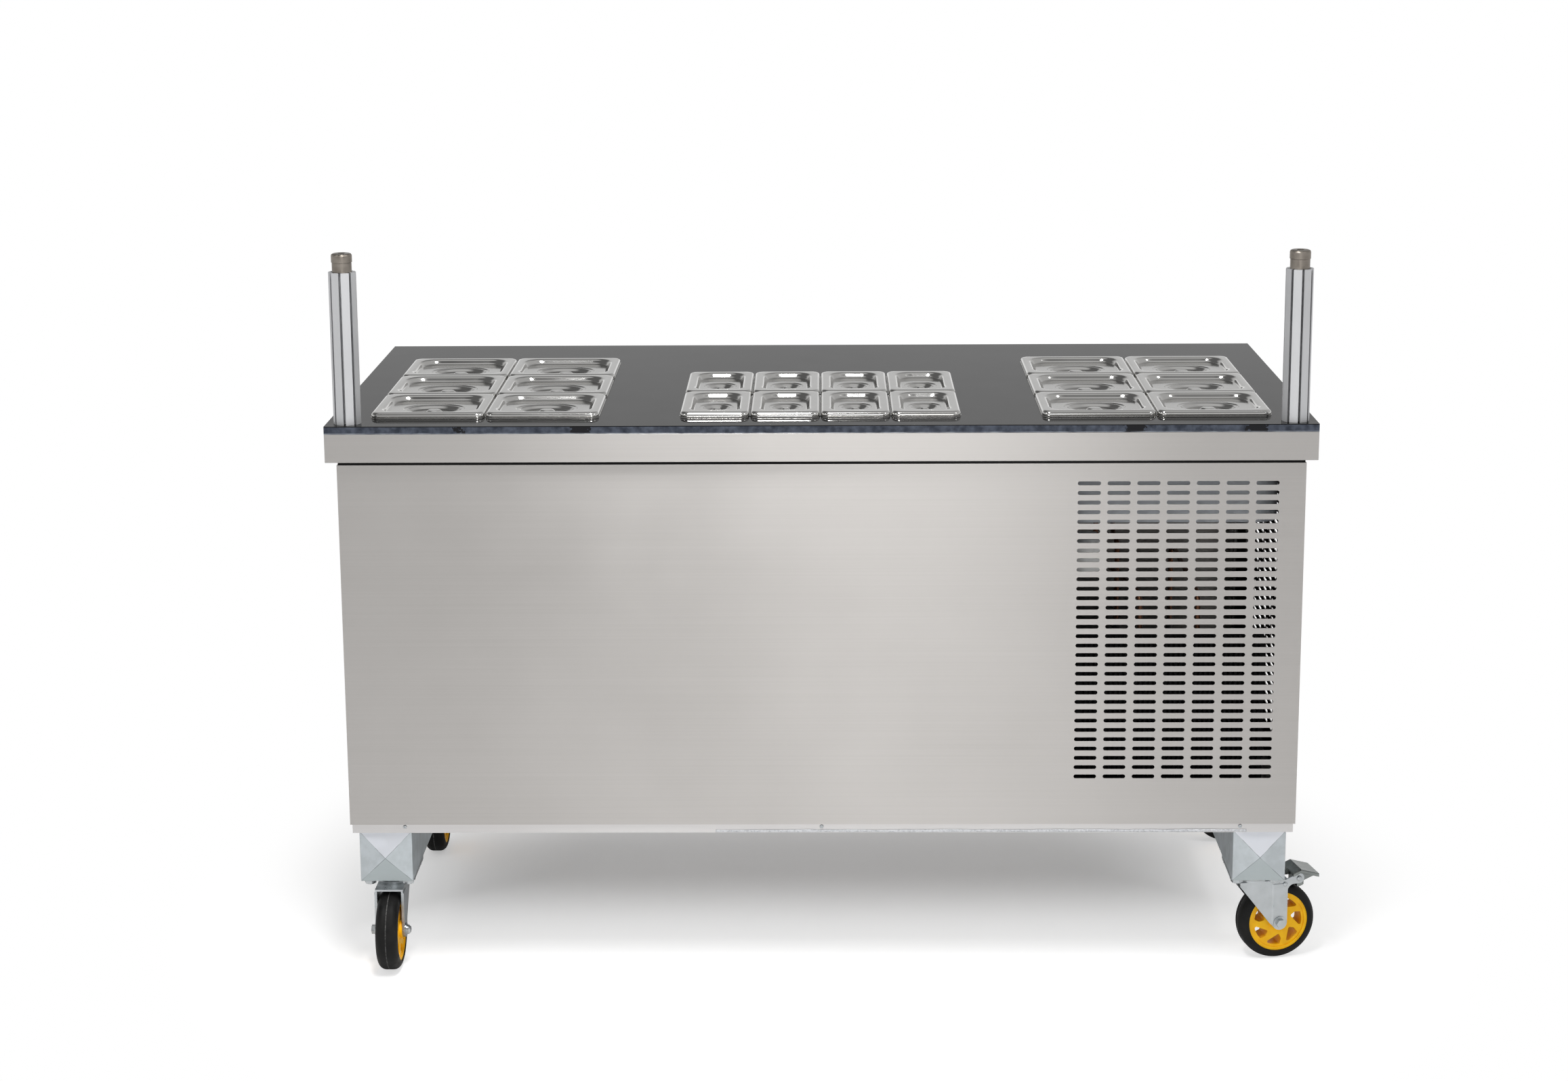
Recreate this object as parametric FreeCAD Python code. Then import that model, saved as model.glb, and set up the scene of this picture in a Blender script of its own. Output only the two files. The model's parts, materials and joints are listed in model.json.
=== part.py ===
import FreeCAD
import Part
import math
import os

# A mobile refrigerated counter that keeps frozen yogurt toppings cold in lidded pans.
# Millimetres. The origin is on the floor below the middle of the worktop, +X runs to the
# customer's right, +Y to the back and +Z up, so the customer stands on the -Y side.

V = FreeCAD.Vector
ORIGIN = V(0, 0, 0)
RIGHT = V(1, 0, 0)
BACK = V(0, 1, 0)
UP = V(0, 0, 1)

# Worktop and the sheet apron that carries it
TOP_WIDTH = 1500.0
TOP_DEPTH = 715.0
COUNTER_HEIGHT = 885.0          # floor to the worktop's upper face
SLAB_THICKNESS = 12.0
APRON_HEIGHT = 44.0
APRON_SHEET = 1.5
APRON_LEDGE = 25.0              # lip under the slab
APRON_LEG = 18.0                # hidden leg behind the panels' top edges
SHADOW_GAP = 7.0                # dark line between the apron and the panels

# Body panels and base tray
PANEL_OVERHANG = 15.0           # worktop edge beyond the panels' faces
PANEL_SHEET = 1.5
PANEL_RETURN = 20.0             # front and rear panels fold round the corners
PANEL_HEM = 12.0                # height of the folded lower edge
PANEL_SEAM = 0.6                # between a return and the side panel
JOGGLE_WIDTH = 24.0             # strip behind each seam
TRAY_SHEET = 1.5
TRAY_STRIP = 14.5               # tray edge showing below the panels
TRAY_LAP = 26.0                 # tray edge hidden behind the panels

# Ventilation slots at the machine compartment
SLOT_LENGTH = 35.0
SLOT_HEIGHT = 6.2
SLOT_COLUMNS = 7
SLOT_COLUMN_PITCH = 45.0
SLOT_ROW_PITCH = 15.0
GRILLE_TOP_MARGIN = 31.0        # panel's top edge to the first row's centre
GRILLE_BOTTOM_MARGIN = 76.0     # least room below the last row's centre
GRILLE_SIDE_MARGIN = 40.0       # panel's right edge to the last slot's end

# Pans, lids and cold wells
SIXTH_WIDTH = 176.0             # pan pitch in the side groups, left to right
SIXTH_DEPTH = 162.0             # pan pitch in the side groups, front to back
NINTH_WIDTH = 108.0             # pan pitch in the middle group, left to right
NINTH_DEPTH = 176.0             # pan pitch in the middle group, front to back
SIDE_COLUMNS = 2
SIDE_ROWS = 3
MIDDLE_COLUMNS = 4
MIDDLE_ROWS = 2
LID_FRONT_MARGIN = 61.0         # worktop's front edge to the first row of lids
LID_SIDE_MARGIN = 60.0          # worktop's side edge to the side groups
PAN_GAP = 0.8                   # between neighbouring pan rims, and lids
PAN_SHEET = 1.0
PAN_FLANGE = 12.0
PAN_CORNER = 12.0               # corner of the rim and of the lid
PAN_MOUTH_CORNER = 20.0
PAN_DEPTH = 100.0
PAN_TAPER = 9.0                 # each side, over the pan's depth
PAN_SEAT = 7.0                  # rim lying on the worktop
LID_SHEET = 0.8
LID_HEIGHT = 7.0                # skirt's lower edge to the lid's upper face
LID_ROLL = 3.0                  # radius of the lid's rolled edge
LID_SEAT_GAP = 0.3              # lid's skirt above the pan's rim
LEVEL_TOLERANCE = 0.01
BASIN_DEPTH = 8.0
BASIN_SLOPE = 6.5
BASIN_BEND = 2.4                # press radius at the basin's shoulder and foot
BASIN_CORNER = 24.0
SIXTH_BASIN_MARGIN = 14.0
NINTH_BASIN_MARGIN = 16.0
DISH_DEPTH = 4.5                # finger dish in the basin's floor
DISH_SLOPE = 4.0
SIXTH_DISH_WIDTH = 97.0
SIXTH_DISH_DEPTH = 72.0
NINTH_DISH = 56.0
BUTTON_HEIGHT = 4.0             # pressed grip in the middle of the dish
BUTTON_SLOPE = 1.5
SIXTH_BUTTON = 31.0
NINTH_BUTTON = 20.0
CUTOUT_CORNER = 10.0
WELL_LEDGE = 5.0                # well's rim showing inside the cut-out, carries the bars
WELL_WALL = 25.0                # foamed wall
WELL_AIR = 38.0                 # cold air under the pans
BAR_WIDTH = 12.0
BAR_FIT = 0.3                   # bar's end to the cut-out's edge

# Canopy posts at the front corners
POST_ACROSS = 40.0              # across the flats of the eight-sided extrusion
POST_HEIGHT = 232.0
POST_SIDE_INSET = 32.0          # worktop's side edge to the post's axis
POST_FRONT_INSET = 28.0         # worktop's front edge to the post's axis
POST_TURNS = (-1.5, 5.0)        # left and right post about their axes, degrees
POST_GROOVES = 8
GROOVE_MOUTH = 3.7
GROOVE_LIP = 3.0                # wall beside the mouth
GROOVE_FLOOR = 8.2              # axis to the groove's floor
GROOVE_WEB = 2.2                # web between neighbouring grooves
POST_BORE = 9.0
SPIGOT_DIAMETER = 29.8
SPIGOT_HEIGHT = 28.0
SPIGOT_COLLAR_DIAMETER = 31.4
SPIGOT_COLLAR_HEIGHT = 13.0
SPIGOT_ROUND = 3.0
SPIGOT_RECESS = 11.0            # diameter of the screw recess
SPIGOT_RECESS_DEPTH = 4.0
SPIGOT_STEM = 30.0              # stem inside the post's bore
SPIGOT_FIT = 0.2

# Chassis beams
BEAM_SIZE = 82.0
BEAM_WALL = 3.0
BEAM_INSET = 25.0               # worktop's front edge to the cap's plate
CAP_SHEET = 1.5
CAP_RISE = 10.0                 # folded pyramid stands proud
CAP_TIP = 3.0
CAP_PLUG = 14.0                 # cap's skirt inside the beam
CAP_FIT = 0.2

# Castors
CASTOR_SIDE_INSET = 68.0        # worktop's side edge to the swivel axis
CASTOR_FRONT_INSET = 89.0       # worktop's front edge to the swivel axis
WHEEL_DIAMETER = 125.0
WHEEL_CLEARANCE = 5.0           # tyre to the fork's crown
TYRE_WIDTH = 35.0
TYRE_SHOULDER = 12.0
TYRE_FIT = 0.05
CORE_DIAMETER = 97.0
CORE_WIDTH = 32.0
RIM_WALL = 5.0
WEB_WIDTH = 29.0
HUB_DIAMETER = 28.0
HUB_WIDTH = 37.4
HUB_SIDE_GAP = 0.3              # hub to the fork's leg
WINDOW_COUNT = 7
WINDOW_RIM_MARGIN = 4.0         # window to the rim
WINDOW_HUB_MARGIN = 8.0         # window to the hub
WINDOW_SPREAD = 36.0            # degrees along the rim
WINDOW_LEAN = 42.0              # degrees to the leaning corner
WINDOW_ROUND = 2.5
WINDOW_START = 17.0             # first window below the level, degrees
AXLE_DIAMETER = 10.0
AXLE_FIT = 0.05
AXLE_HEX = 15.0                 # across the corners of the bolt head
AXLE_HEAD = 6.0
AXLE_WASHER = 21.0
WASHER_SHEET = 1.6
TRAIL = 40.0                    # swivel axis to the axle
FORK_SHEET = 3.0
FORK_FRONT = 27.0               # crown ahead of the swivel axis
FORK_REAR = 52.0                # crown behind the swivel axis
FORK_EYE = 12.0                 # radius of the leg round the axle
FORK_TOE = 16.5                 # leg ahead of the axle
FORK_RIB_WIDTH = 26.0           # pressed panel up each leg
FORK_RIB_SLOPE = 3.0            # sloped edge of the pressed panel
FORK_RIB_PROUD = 1.2
RACE_DIAMETER = 52.0
RACE_HEIGHT = 3.0
RACE_GAP = 0.3
HEAD_HEIGHT = 11.7
HEAD_TAPER = 2.5
KINGPIN_DIAMETER = 12.0
KINGPIN_FIT = 0.05
KINGPIN_HEAD = 22.0
KINGPIN_HEAD_HEIGHT = 3.0
KINGPIN_END_GAP = 0.3           # under the crown
PLATE_THICKNESS = 4.0
PLATE_LENGTH = 105.0
PLATE_CORNER = 6.0

# Brake pedal of a braked castor, seen from its left side: X from the swivel axis
BRAKE_PIN_X = 71.0
BRAKE_PIN_RISE = 4.0            # above the crown's lower face
BRAKE_PIN_DIAMETER = 6.0
BRAKE_PIN_FIT = 0.05
BRAKE_PIN_END = 2.0             # pin's head beyond the ears
EAR_RADIUS = 8.5
EAR_SWEEP = 12.0                # hollow curve from the leg into the ear
PEDAL_SHEET = 2.5
PEDAL_SIDE_GAP = 0.5            # pedal's cheeks to the fork's ears
PEDAL_HEEL = 11.0               # tread ahead of the pin
PEDAL_REACH = 32.0              # tread behind the pin
PEDAL_HEEL_RISE = 7.0           # tread's lower face above the pin at the heel
PEDAL_CREST_RISE = 12.5         # at the fold
PEDAL_TIP_RISE = 4.0            # at the toe
PEDAL_CHEEK_DROP = 6.5
PEDAL_OVERHANG = 3.5            # tread beyond the fork's ears
PEDAL_SKIRT = 3.5               # rolled edge turned down at either side
PEDAL_ROUND = 1.8
SHOE_TYRE_GAP = 0.6             # brake shoe to the tyre where it comes nearest
SHOE_HEEL = 2.0                 # shoe ahead of the pin
SHOE_TOE = 9.0                  # shoe behind the pin

# Which castors are where, how they stand and which have a brake
LEFT_TRAIL = -90.0              # trailing towards the customer
RIGHT_TRAIL = 12.0              # trailing to the right and a little back
CASTORS = (
    ("front_left", -1, -1, LEFT_TRAIL, False),
    ("front_right", 1, -1, RIGHT_TRAIL, True),
    ("rear_left", -1, 1, LEFT_TRAIL, False),
    ("rear_right", 1, 1, RIGHT_TRAIL, True),
)

# Condensing unit in the machine compartment
PARTITION_SHEET = 1.2
PARTITION_GAP = 30.0            # partition to the first column of slots
COIL_WIDTH = 290.0
COIL_DEPTH = 50.0
COIL_HEIGHT = 300.0
COIL_STANDOFF = 45.0            # front panel's face to the coil
COIL_PLATE = 2.0                # end plates that stand on the tray
COIL_LIFT = 20.0                # fins above the tray
FIN_COUNT = 36
FIN_GAP_WIDTH = 4.0
FIN_GAP_DEPTH = 14.0
SHROUD_SHEET = 1.2
SHROUD_OPENING = 236.0
SHROUD_COLLAR = 24.0
FAN_TIP_GAP = 5.0
FAN_HUB_DIAMETER = 60.0
FAN_HUB_LENGTH = 24.0
FAN_STANDOFF = 22.0             # shroud's rear face to the middle of the fan
FAN_BLADES = 5
BLADE_ROOT_CHORD = 36.0
BLADE_TIP_CHORD = 66.0
BLADE_ROOT_PITCH = 40.0
BLADE_TIP_PITCH = 24.0
BLADE_SHEET = 2.0
SHAFT_DIAMETER = 6.0
SHAFT_FIT = 0.05
MOTOR_DIAMETER = 80.0
MOTOR_LENGTH = 55.0
MOTOR_GAP = 8.0                 # fan's hub to the motor's face
MOTOR_ROUND = 6.0
STRAP_WIDTH = 30.0
STRAP_SHEET = 3.0
STRAP_SPAN = 276.0
COMPRESSOR_DIAMETER = 160.0
COMPRESSOR_HEIGHT = 190.0
COMPRESSOR_DOME = 40.0
COMPRESSOR_SEAM = 4.0           # welded flange round the pot
COMPRESSOR_Y = 80.0
FOOT_PLATE_WIDTH = 210.0
FOOT_PLATE_DEPTH = 150.0
FOOT_PLATE_SHEET = 3.0
GROMMET_DIAMETER = 26.0
GROMMET_HEIGHT = 18.0
GROMMET_INSET = 20.0
STUB_DIAMETER = 12.0
STUB_RISE = 14.0
STUB_OFFSET = 45.0
PIPE_DIAMETER = 8.0
PIPE_BEND = 22.0
PIPE_RISE = 60.0                # discharge pipe above the compressor
BOX_WIDTH = 70.0
BOX_DEPTH = 80.0
BOX_HEIGHT = 50.0
BOX_DROP = 32.0                 # below the well
BOX_STANDOFF = 30.0             # front panel's face to the box
BOX_ROUND = 4.0

# Levels and planes that follow
SLAB_BOTTOM = COUNTER_HEIGHT - SLAB_THICKNESS
APRON_BOTTOM = SLAB_BOTTOM - APRON_HEIGHT
PANEL_TOP = APRON_BOTTOM - SHADOW_GAP
CROWN_BOTTOM = WHEEL_DIAMETER + WHEEL_CLEARANCE
CROWN_TOP = CROWN_BOTTOM + FORK_SHEET
HEAD_BOTTOM = CROWN_TOP + RACE_HEIGHT + RACE_GAP
PLATE_BOTTOM = HEAD_BOTTOM + HEAD_HEIGHT
BEAM_BOTTOM = PLATE_BOTTOM + PLATE_THICKNESS
BEAM_TOP = BEAM_BOTTOM + BEAM_SIZE
TRAY_FLOOR = BEAM_TOP + TRAY_SHEET
PANEL_BOTTOM = BEAM_TOP + TRAY_STRIP
PANEL_HEIGHT = PANEL_TOP - PANEL_BOTTOM
BODY_X = TOP_WIDTH / 2 - PANEL_OVERHANG
BODY_Y = TOP_DEPTH / 2 - PANEL_OVERHANG
TRAY_INSET = 2 * PANEL_SHEET
AXLE_HEIGHT = WHEEL_DIAMETER / 2
FORK_GAP = HUB_WIDTH + 2 * HUB_SIDE_GAP
FORK_WIDTH = FORK_GAP + 2 * FORK_SHEET
CASTOR_X = TOP_WIDTH / 2 - CASTOR_SIDE_INSET
CASTOR_Y = TOP_DEPTH / 2 - CASTOR_FRONT_INSET
PIN_HEIGHT = CROWN_BOTTOM + BRAKE_PIN_RISE
PIN_TO_AXLE = math.hypot(BRAKE_PIN_X - TRAIL, PIN_HEIGHT - AXLE_HEIGHT)
SHOE_REACH = PIN_TO_AXLE - WHEEL_DIAMETER / 2 - SHOE_TYRE_GAP
SLOT_ROWS = int((PANEL_HEIGHT - GRILLE_TOP_MARGIN - GRILLE_BOTTOM_MARGIN) / SLOT_ROW_PITCH) + 1
GRILLE_SPAN = (SLOT_COLUMNS - 1) * SLOT_COLUMN_PITCH
GRILLE_X = BODY_X - GRILLE_SIDE_MARGIN - SLOT_LENGTH / 2 - GRILLE_SPAN / 2
GRILLE_TOP = PANEL_TOP - GRILLE_TOP_MARGIN
WELL_FLOOR = COUNTER_HEIGHT - PAN_DEPTH - WELL_AIR
WELL_BOTTOM = WELL_FLOOR - WELL_WALL
RIM_TOP = COUNTER_HEIGHT + PAN_SHEET
LID_BASE = RIM_TOP + LID_SEAT_GAP
SIDE_GROUP_X = TOP_WIDTH / 2 - LID_SIDE_MARGIN - SIDE_COLUMNS * SIXTH_WIDTH / 2
LID_FRONT_Y = -TOP_DEPTH / 2 + LID_FRONT_MARGIN
PARTITION_X = GRILLE_X - GRILLE_SPAN / 2 - SLOT_LENGTH / 2 - PARTITION_GAP
COIL_FRONT = -BODY_Y + COIL_STANDOFF
COIL_BACK = COIL_FRONT + COIL_DEPTH
FAN_HEIGHT = TRAY_FLOOR + COIL_HEIGHT / 2
FAN_Y = COIL_BACK + SHROUD_SHEET + FAN_STANDOFF
MOTOR_FRONT = FAN_Y + FAN_HUB_LENGTH / 2 + MOTOR_GAP
MOTOR_BACK = MOTOR_FRONT + MOTOR_LENGTH
FOOT_PLATE_BOTTOM = TRAY_FLOOR + GROMMET_HEIGHT
POT_BOTTOM = FOOT_PLATE_BOTTOM + FOOT_PLATE_SHEET
POT_TOP = POT_BOTTOM + COMPRESSOR_HEIGHT
STUB_TOP = POT_TOP + STUB_RISE

# The three groups of pans: name, middle X, columns, rows, pitch in X and in Y
GROUPS = (
    ("left", -SIDE_GROUP_X, SIDE_COLUMNS, SIDE_ROWS, SIXTH_WIDTH, SIXTH_DEPTH),
    ("middle", 0.0, MIDDLE_COLUMNS, MIDDLE_ROWS, NINTH_WIDTH, NINTH_DEPTH),
    ("right", SIDE_GROUP_X, SIDE_COLUMNS, SIDE_ROWS, SIXTH_WIDTH, SIXTH_DEPTH),
)


# Building blocks

def block(x0, x1, y0, y1, z0, z1):
    return Part.makeBox(x1 - x0, y1 - y0, z1 - z0, V(x0, y0, z0))


def ring(half_x, half_y, wall, z0, z1):
    """Rectangular frame about the Z axis, its outer faces at the half sizes."""
    outer = block(-half_x, half_x, -half_y, half_y, z0, z1)
    inner_x = half_x - wall
    inner_y = half_y - wall
    return outer.cut(block(-inner_x, inner_x, -inner_y, inner_y, z0, z1))


def rounded_wire(width, depth, radius, z):
    """Rectangle with round corners about the Z axis, counter-clockwise from above."""
    half_w = width / 2
    half_d = depth / 2
    tip = radius * (1 - math.sqrt(0.5))
    arcs = []
    for side, end in ((1, 1), (-1, 1), (-1, -1), (1, -1)):
        on_side = V(side * half_w, end * (half_d - radius), z)
        on_end = V(side * (half_w - radius), end * half_d, z)
        middle = V(side * (half_w - tip), end * (half_d - tip), z)
        stops = (on_side, middle, on_end) if side == end else (on_end, middle, on_side)
        arcs.append(stops)
    edges = []
    for index, (start, middle, stop) in enumerate(arcs):
        before = arcs[index - 1][2]
        edges.append(Part.LineSegment(before, start).toShape())
        edges.append(Part.Arc(start, middle, stop).toShape())
    return Part.Wire(edges)


def rounded_prism(width, depth, radius, z0, z1):
    return Part.Face(rounded_wire(width, depth, radius, z0)).extrude(V(0, 0, z1 - z0))


def tapered(*sections):
    """Straight-sided loft through rounded rectangles given as width, depth, radius, height."""
    return Part.makeLoft([rounded_wire(*section) for section in sections], True, True)


def oval_frustum(width, depth, z_wide, narrowing, z_narrow):
    """Sloped round or oval form, wide at one level and drawn in at the other."""
    wires = []
    for draw_in, z in ((0.0, z_wide), (narrowing, z_narrow)):
        curve = Part.Ellipse(V(0, 0, z), width / 2 - draw_in, depth / 2 - draw_in)
        if width == depth:
            curve = Part.Circle(V(0, 0, z), UP, width / 2 - draw_in)
        wires.append(Part.Wire([curve.toShape()]))
    return Part.makeLoft(wires, True, True)


def level_edges(shape, height, reach_low, reach_high):
    """Edges lying flat at one height, between two distances from the middle along X."""
    found = []
    for edge in shape.Edges:
        box = edge.BoundBox
        reach = max(abs(box.XMin), abs(box.XMax))
        flat = max(abs(box.ZMin - height), abs(box.ZMax - height)) < LEVEL_TOLERANCE
        if flat and reach_low < reach <= reach_high:
            found.append(edge)
    return found


def polygon_face(points):
    corners = [V(*point) for point in points]
    return Part.Face(Part.makePolygon(corners + corners[:1]))


def side_prism(outline, y0, y1):
    """Outline in X and Z, extruded along Y."""
    return polygon_face([(x, y0, z) for x, z in outline]).extrude(V(0, y1 - y0, 0))


def turned(outline):
    """Outline of radius and height, turned about the Z axis."""
    return polygon_face([(radius, 0, z) for radius, z in outline]).revolve(ORIGIN, UP, 360)


def rod(diameter, start, direction, length):
    return Part.makeCylinder(diameter / 2, length, start, direction)


def hexagon(across_corners, start, length):
    """Hexagonal bar along Y from a start point."""
    points = []
    for corner in range(6):
        angle = math.radians(60 * corner)
        x = start.x + across_corners / 2 * math.cos(angle)
        z = start.z + across_corners / 2 * math.sin(angle)
        points.append((x, start.y, z))
    return polygon_face(points).extrude(V(0, length, 0))


def moved(shape, x, y, z, turn=0.0):
    """Copy of a shape turned about Z and then shifted."""
    copy = shape.copy()
    copy.rotate(ORIGIN, UP, turn)
    copy.translate(V(x, y, z))
    return copy


def bent_pipe(points, diameter, bend):
    """Tube along straight runs joined by tangent arcs of one bend radius."""
    edges = []
    start = points[0]
    for before, corner, after in zip(points, points[1:], points[2:]):
        towards = (before - corner).normalize()
        onwards = (after - corner).normalize()
        half_angle = towards.getAngle(onwards) / 2
        reach = bend / math.tan(half_angle)
        bisector = (towards + onwards).normalize()
        centre = corner + bisector * (bend / math.sin(half_angle))
        enter = corner + towards * reach
        leave = corner + onwards * reach
        edges.append(Part.LineSegment(start, enter).toShape())
        edges.append(Part.Arc(enter, centre - bisector * bend, leave).toShape())
        start = leave
    edges.append(Part.LineSegment(start, points[-1]).toShape())
    section = Part.Wire([Part.Circle(points[0], points[1] - points[0], diameter / 2).toShape()])
    return Part.Wire(edges).makePipeShell([section], True, False)


def pan_places():
    """Each pan's group, row, column and centre, from the front left pan of each group."""
    for name, middle, columns, rows, pitch_x, pitch_y in GROUPS:
        for row in range(rows):
            for column in range(columns):
                x = middle + (column - (columns - 1) / 2) * pitch_x
                y = LID_FRONT_Y + (row + 0.5) * pitch_y
                yield name, row + 1, column + 1, x, y


def group_cutouts():
    """Each group's name, centre and the size of its opening in the worktop."""
    for name, middle, columns, rows, pitch_x, pitch_y in GROUPS:
        width = columns * pitch_x - 2 * PAN_SEAT
        depth = rows * pitch_y - 2 * PAN_SEAT
        yield name, middle, LID_FRONT_Y + rows * pitch_y / 2, width, depth


# Worktop, apron and panels

def worktop():
    slab = block(-TOP_WIDTH / 2, TOP_WIDTH / 2, -TOP_DEPTH / 2, TOP_DEPTH / 2,
                 SLAB_BOTTOM, COUNTER_HEIGHT)
    for _, x, y, width, depth in group_cutouts():
        opening = rounded_prism(width, depth, CUTOUT_CORNER, SLAB_BOTTOM, COUNTER_HEIGHT)
        slab = slab.cut(moved(opening, x, y, 0))
    return slab


def apron_frame():
    """Folded sheet: ledge under the slab, visible band, return and a leg behind the panels."""
    half_x = TOP_WIDTH / 2
    half_y = TOP_DEPTH / 2
    leg_inset = PANEL_OVERHANG + PANEL_SHEET
    band = ring(half_x, half_y, APRON_SHEET, APRON_BOTTOM, SLAB_BOTTOM)
    ledge = ring(half_x, half_y, APRON_LEDGE, SLAB_BOTTOM - APRON_SHEET, SLAB_BOTTOM)
    fold = ring(half_x, half_y, leg_inset + APRON_SHEET, APRON_BOTTOM, APRON_BOTTOM + APRON_SHEET)
    leg = ring(half_x - leg_inset, half_y - leg_inset, APRON_SHEET,
               PANEL_TOP - APRON_LEG, APRON_BOTTOM)
    return band.fuse([ledge, fold, leg]).removeSplitter()


def slot_cutter(length, depth):
    """Round-ended slot along X, cut through along Y."""
    straight = length / 2 - SLOT_HEIGHT / 2
    half = SLOT_HEIGHT / 2
    upper = Part.LineSegment(V(straight, 0, half), V(-straight, 0, half)).toShape()
    left = Part.Arc(V(-straight, 0, half), V(-length / 2, 0, 0), V(-straight, 0, -half)).toShape()
    lower = Part.LineSegment(V(-straight, 0, -half), V(straight, 0, -half)).toShape()
    right = Part.Arc(V(straight, 0, -half), V(length / 2, 0, 0), V(straight, 0, half)).toShape()
    return Part.Face(Part.Wire([upper, left, lower, right])).extrude(V(0, depth, 0))


def slot_pattern(x, y):
    """All slots of one grille, centred on x, reaching from y through the sheet."""
    single = slot_cutter(SLOT_LENGTH, 2 * PANEL_SHEET)
    slots = []
    for row in range(SLOT_ROWS):
        for column in range(SLOT_COLUMNS):
            slot_x = x + (column - (SLOT_COLUMNS - 1) / 2) * SLOT_COLUMN_PITCH
            slots.append(moved(single, slot_x, y - PANEL_SHEET / 2, GRILLE_TOP - row * SLOT_ROW_PITCH))
    return Part.makeCompound(slots)


def end_panel():
    """Sheet on the -Y side with folded returns at both ends and a hem along the foot."""
    inner_y = -BODY_Y + PANEL_SHEET
    face = block(-BODY_X, BODY_X, -BODY_Y, inner_y, PANEL_BOTTOM, PANEL_TOP)
    pieces = []
    for side in (-1, 1):
        edge = side * BODY_X
        fold = side * (BODY_X - PANEL_SHEET)
        pieces.append(block(min(edge, fold), max(edge, fold), inner_y, -BODY_Y + PANEL_RETURN,
                            PANEL_BOTTOM, PANEL_TOP))
    hem_x = BODY_X - PANEL_RETURN
    pieces.append(block(-hem_x, hem_x, inner_y, inner_y + PANEL_SHEET,
                        PANEL_BOTTOM, PANEL_BOTTOM + PANEL_HEM))
    return face.fuse(pieces).removeSplitter()


def front_panel():
    return end_panel().cut(slot_pattern(GRILLE_X, -BODY_Y))


def rear_panel():
    return moved(end_panel(), 0, 0, 0, turn=180)


def left_panel():
    """Sheet between the returns, with a hem and a joggle strip behind each seam."""
    half_y = BODY_Y - PANEL_RETURN - PANEL_SEAM
    inner_x = -BODY_X + PANEL_SHEET
    hem_y = half_y - PANEL_RETURN
    sheet = block(-BODY_X, inner_x, -half_y, half_y, PANEL_BOTTOM, PANEL_TOP)
    pieces = [block(inner_x, inner_x + PANEL_SHEET, -hem_y, hem_y,
                    PANEL_BOTTOM, PANEL_BOTTOM + PANEL_HEM)]
    for end in (-1, 1):
        seam = end * half_y
        pieces.append(block(inner_x, inner_x + PANEL_SHEET,
                            seam - JOGGLE_WIDTH / 2, seam + JOGGLE_WIDTH / 2,
                            PANEL_BOTTOM + PANEL_HEM, PANEL_TOP - APRON_LEG - SHADOW_GAP))
    return sheet.fuse(pieces).removeSplitter()


def right_panel():
    """The left panel turned about, with the compartment's slots centred in it."""
    slots = slot_pattern(0, -BODY_X)
    slots.rotate(ORIGIN, UP, 90)
    return moved(left_panel(), 0, 0, 0, turn=180).cut(slots)


def base_tray():
    half_x = BODY_X - TRAY_INSET
    half_y = BODY_Y - TRAY_INSET
    floor = block(-half_x, half_x, -half_y, half_y, BEAM_TOP, TRAY_FLOOR)
    edge = ring(half_x, half_y, TRAY_SHEET, TRAY_FLOOR, PANEL_BOTTOM + TRAY_LAP)
    return floor.fuse(edge).removeSplitter()


# Pans, lids, wells and the bars between pans

def pan(width, depth):
    """Gastronorm pan about its own centre, the rim's underside at Z = 0."""
    mouth_w = width - 2 * PAN_FLANGE
    mouth_d = depth - 2 * PAN_FLANGE
    foot_w = mouth_w - 2 * PAN_TAPER
    foot_d = mouth_d - 2 * PAN_TAPER
    foot_corner = PAN_MOUTH_CORNER - PAN_TAPER / 2
    skin = 2 * PAN_SHEET
    rim = rounded_prism(width - PAN_GAP, depth - PAN_GAP, PAN_CORNER, 0, PAN_SHEET)
    outer = tapered(
        (foot_w + skin, foot_d + skin, foot_corner + PAN_SHEET, PAN_SHEET - PAN_DEPTH),
        (mouth_w + skin, mouth_d + skin, PAN_MOUTH_CORNER + PAN_SHEET, PAN_SHEET),
    )
    inner = tapered(
        (foot_w, foot_d, foot_corner, 2 * PAN_SHEET - PAN_DEPTH),
        (mouth_w, mouth_d, PAN_MOUTH_CORNER, PAN_SHEET),
    )
    return rim.fuse(outer).cut(inner)


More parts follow.
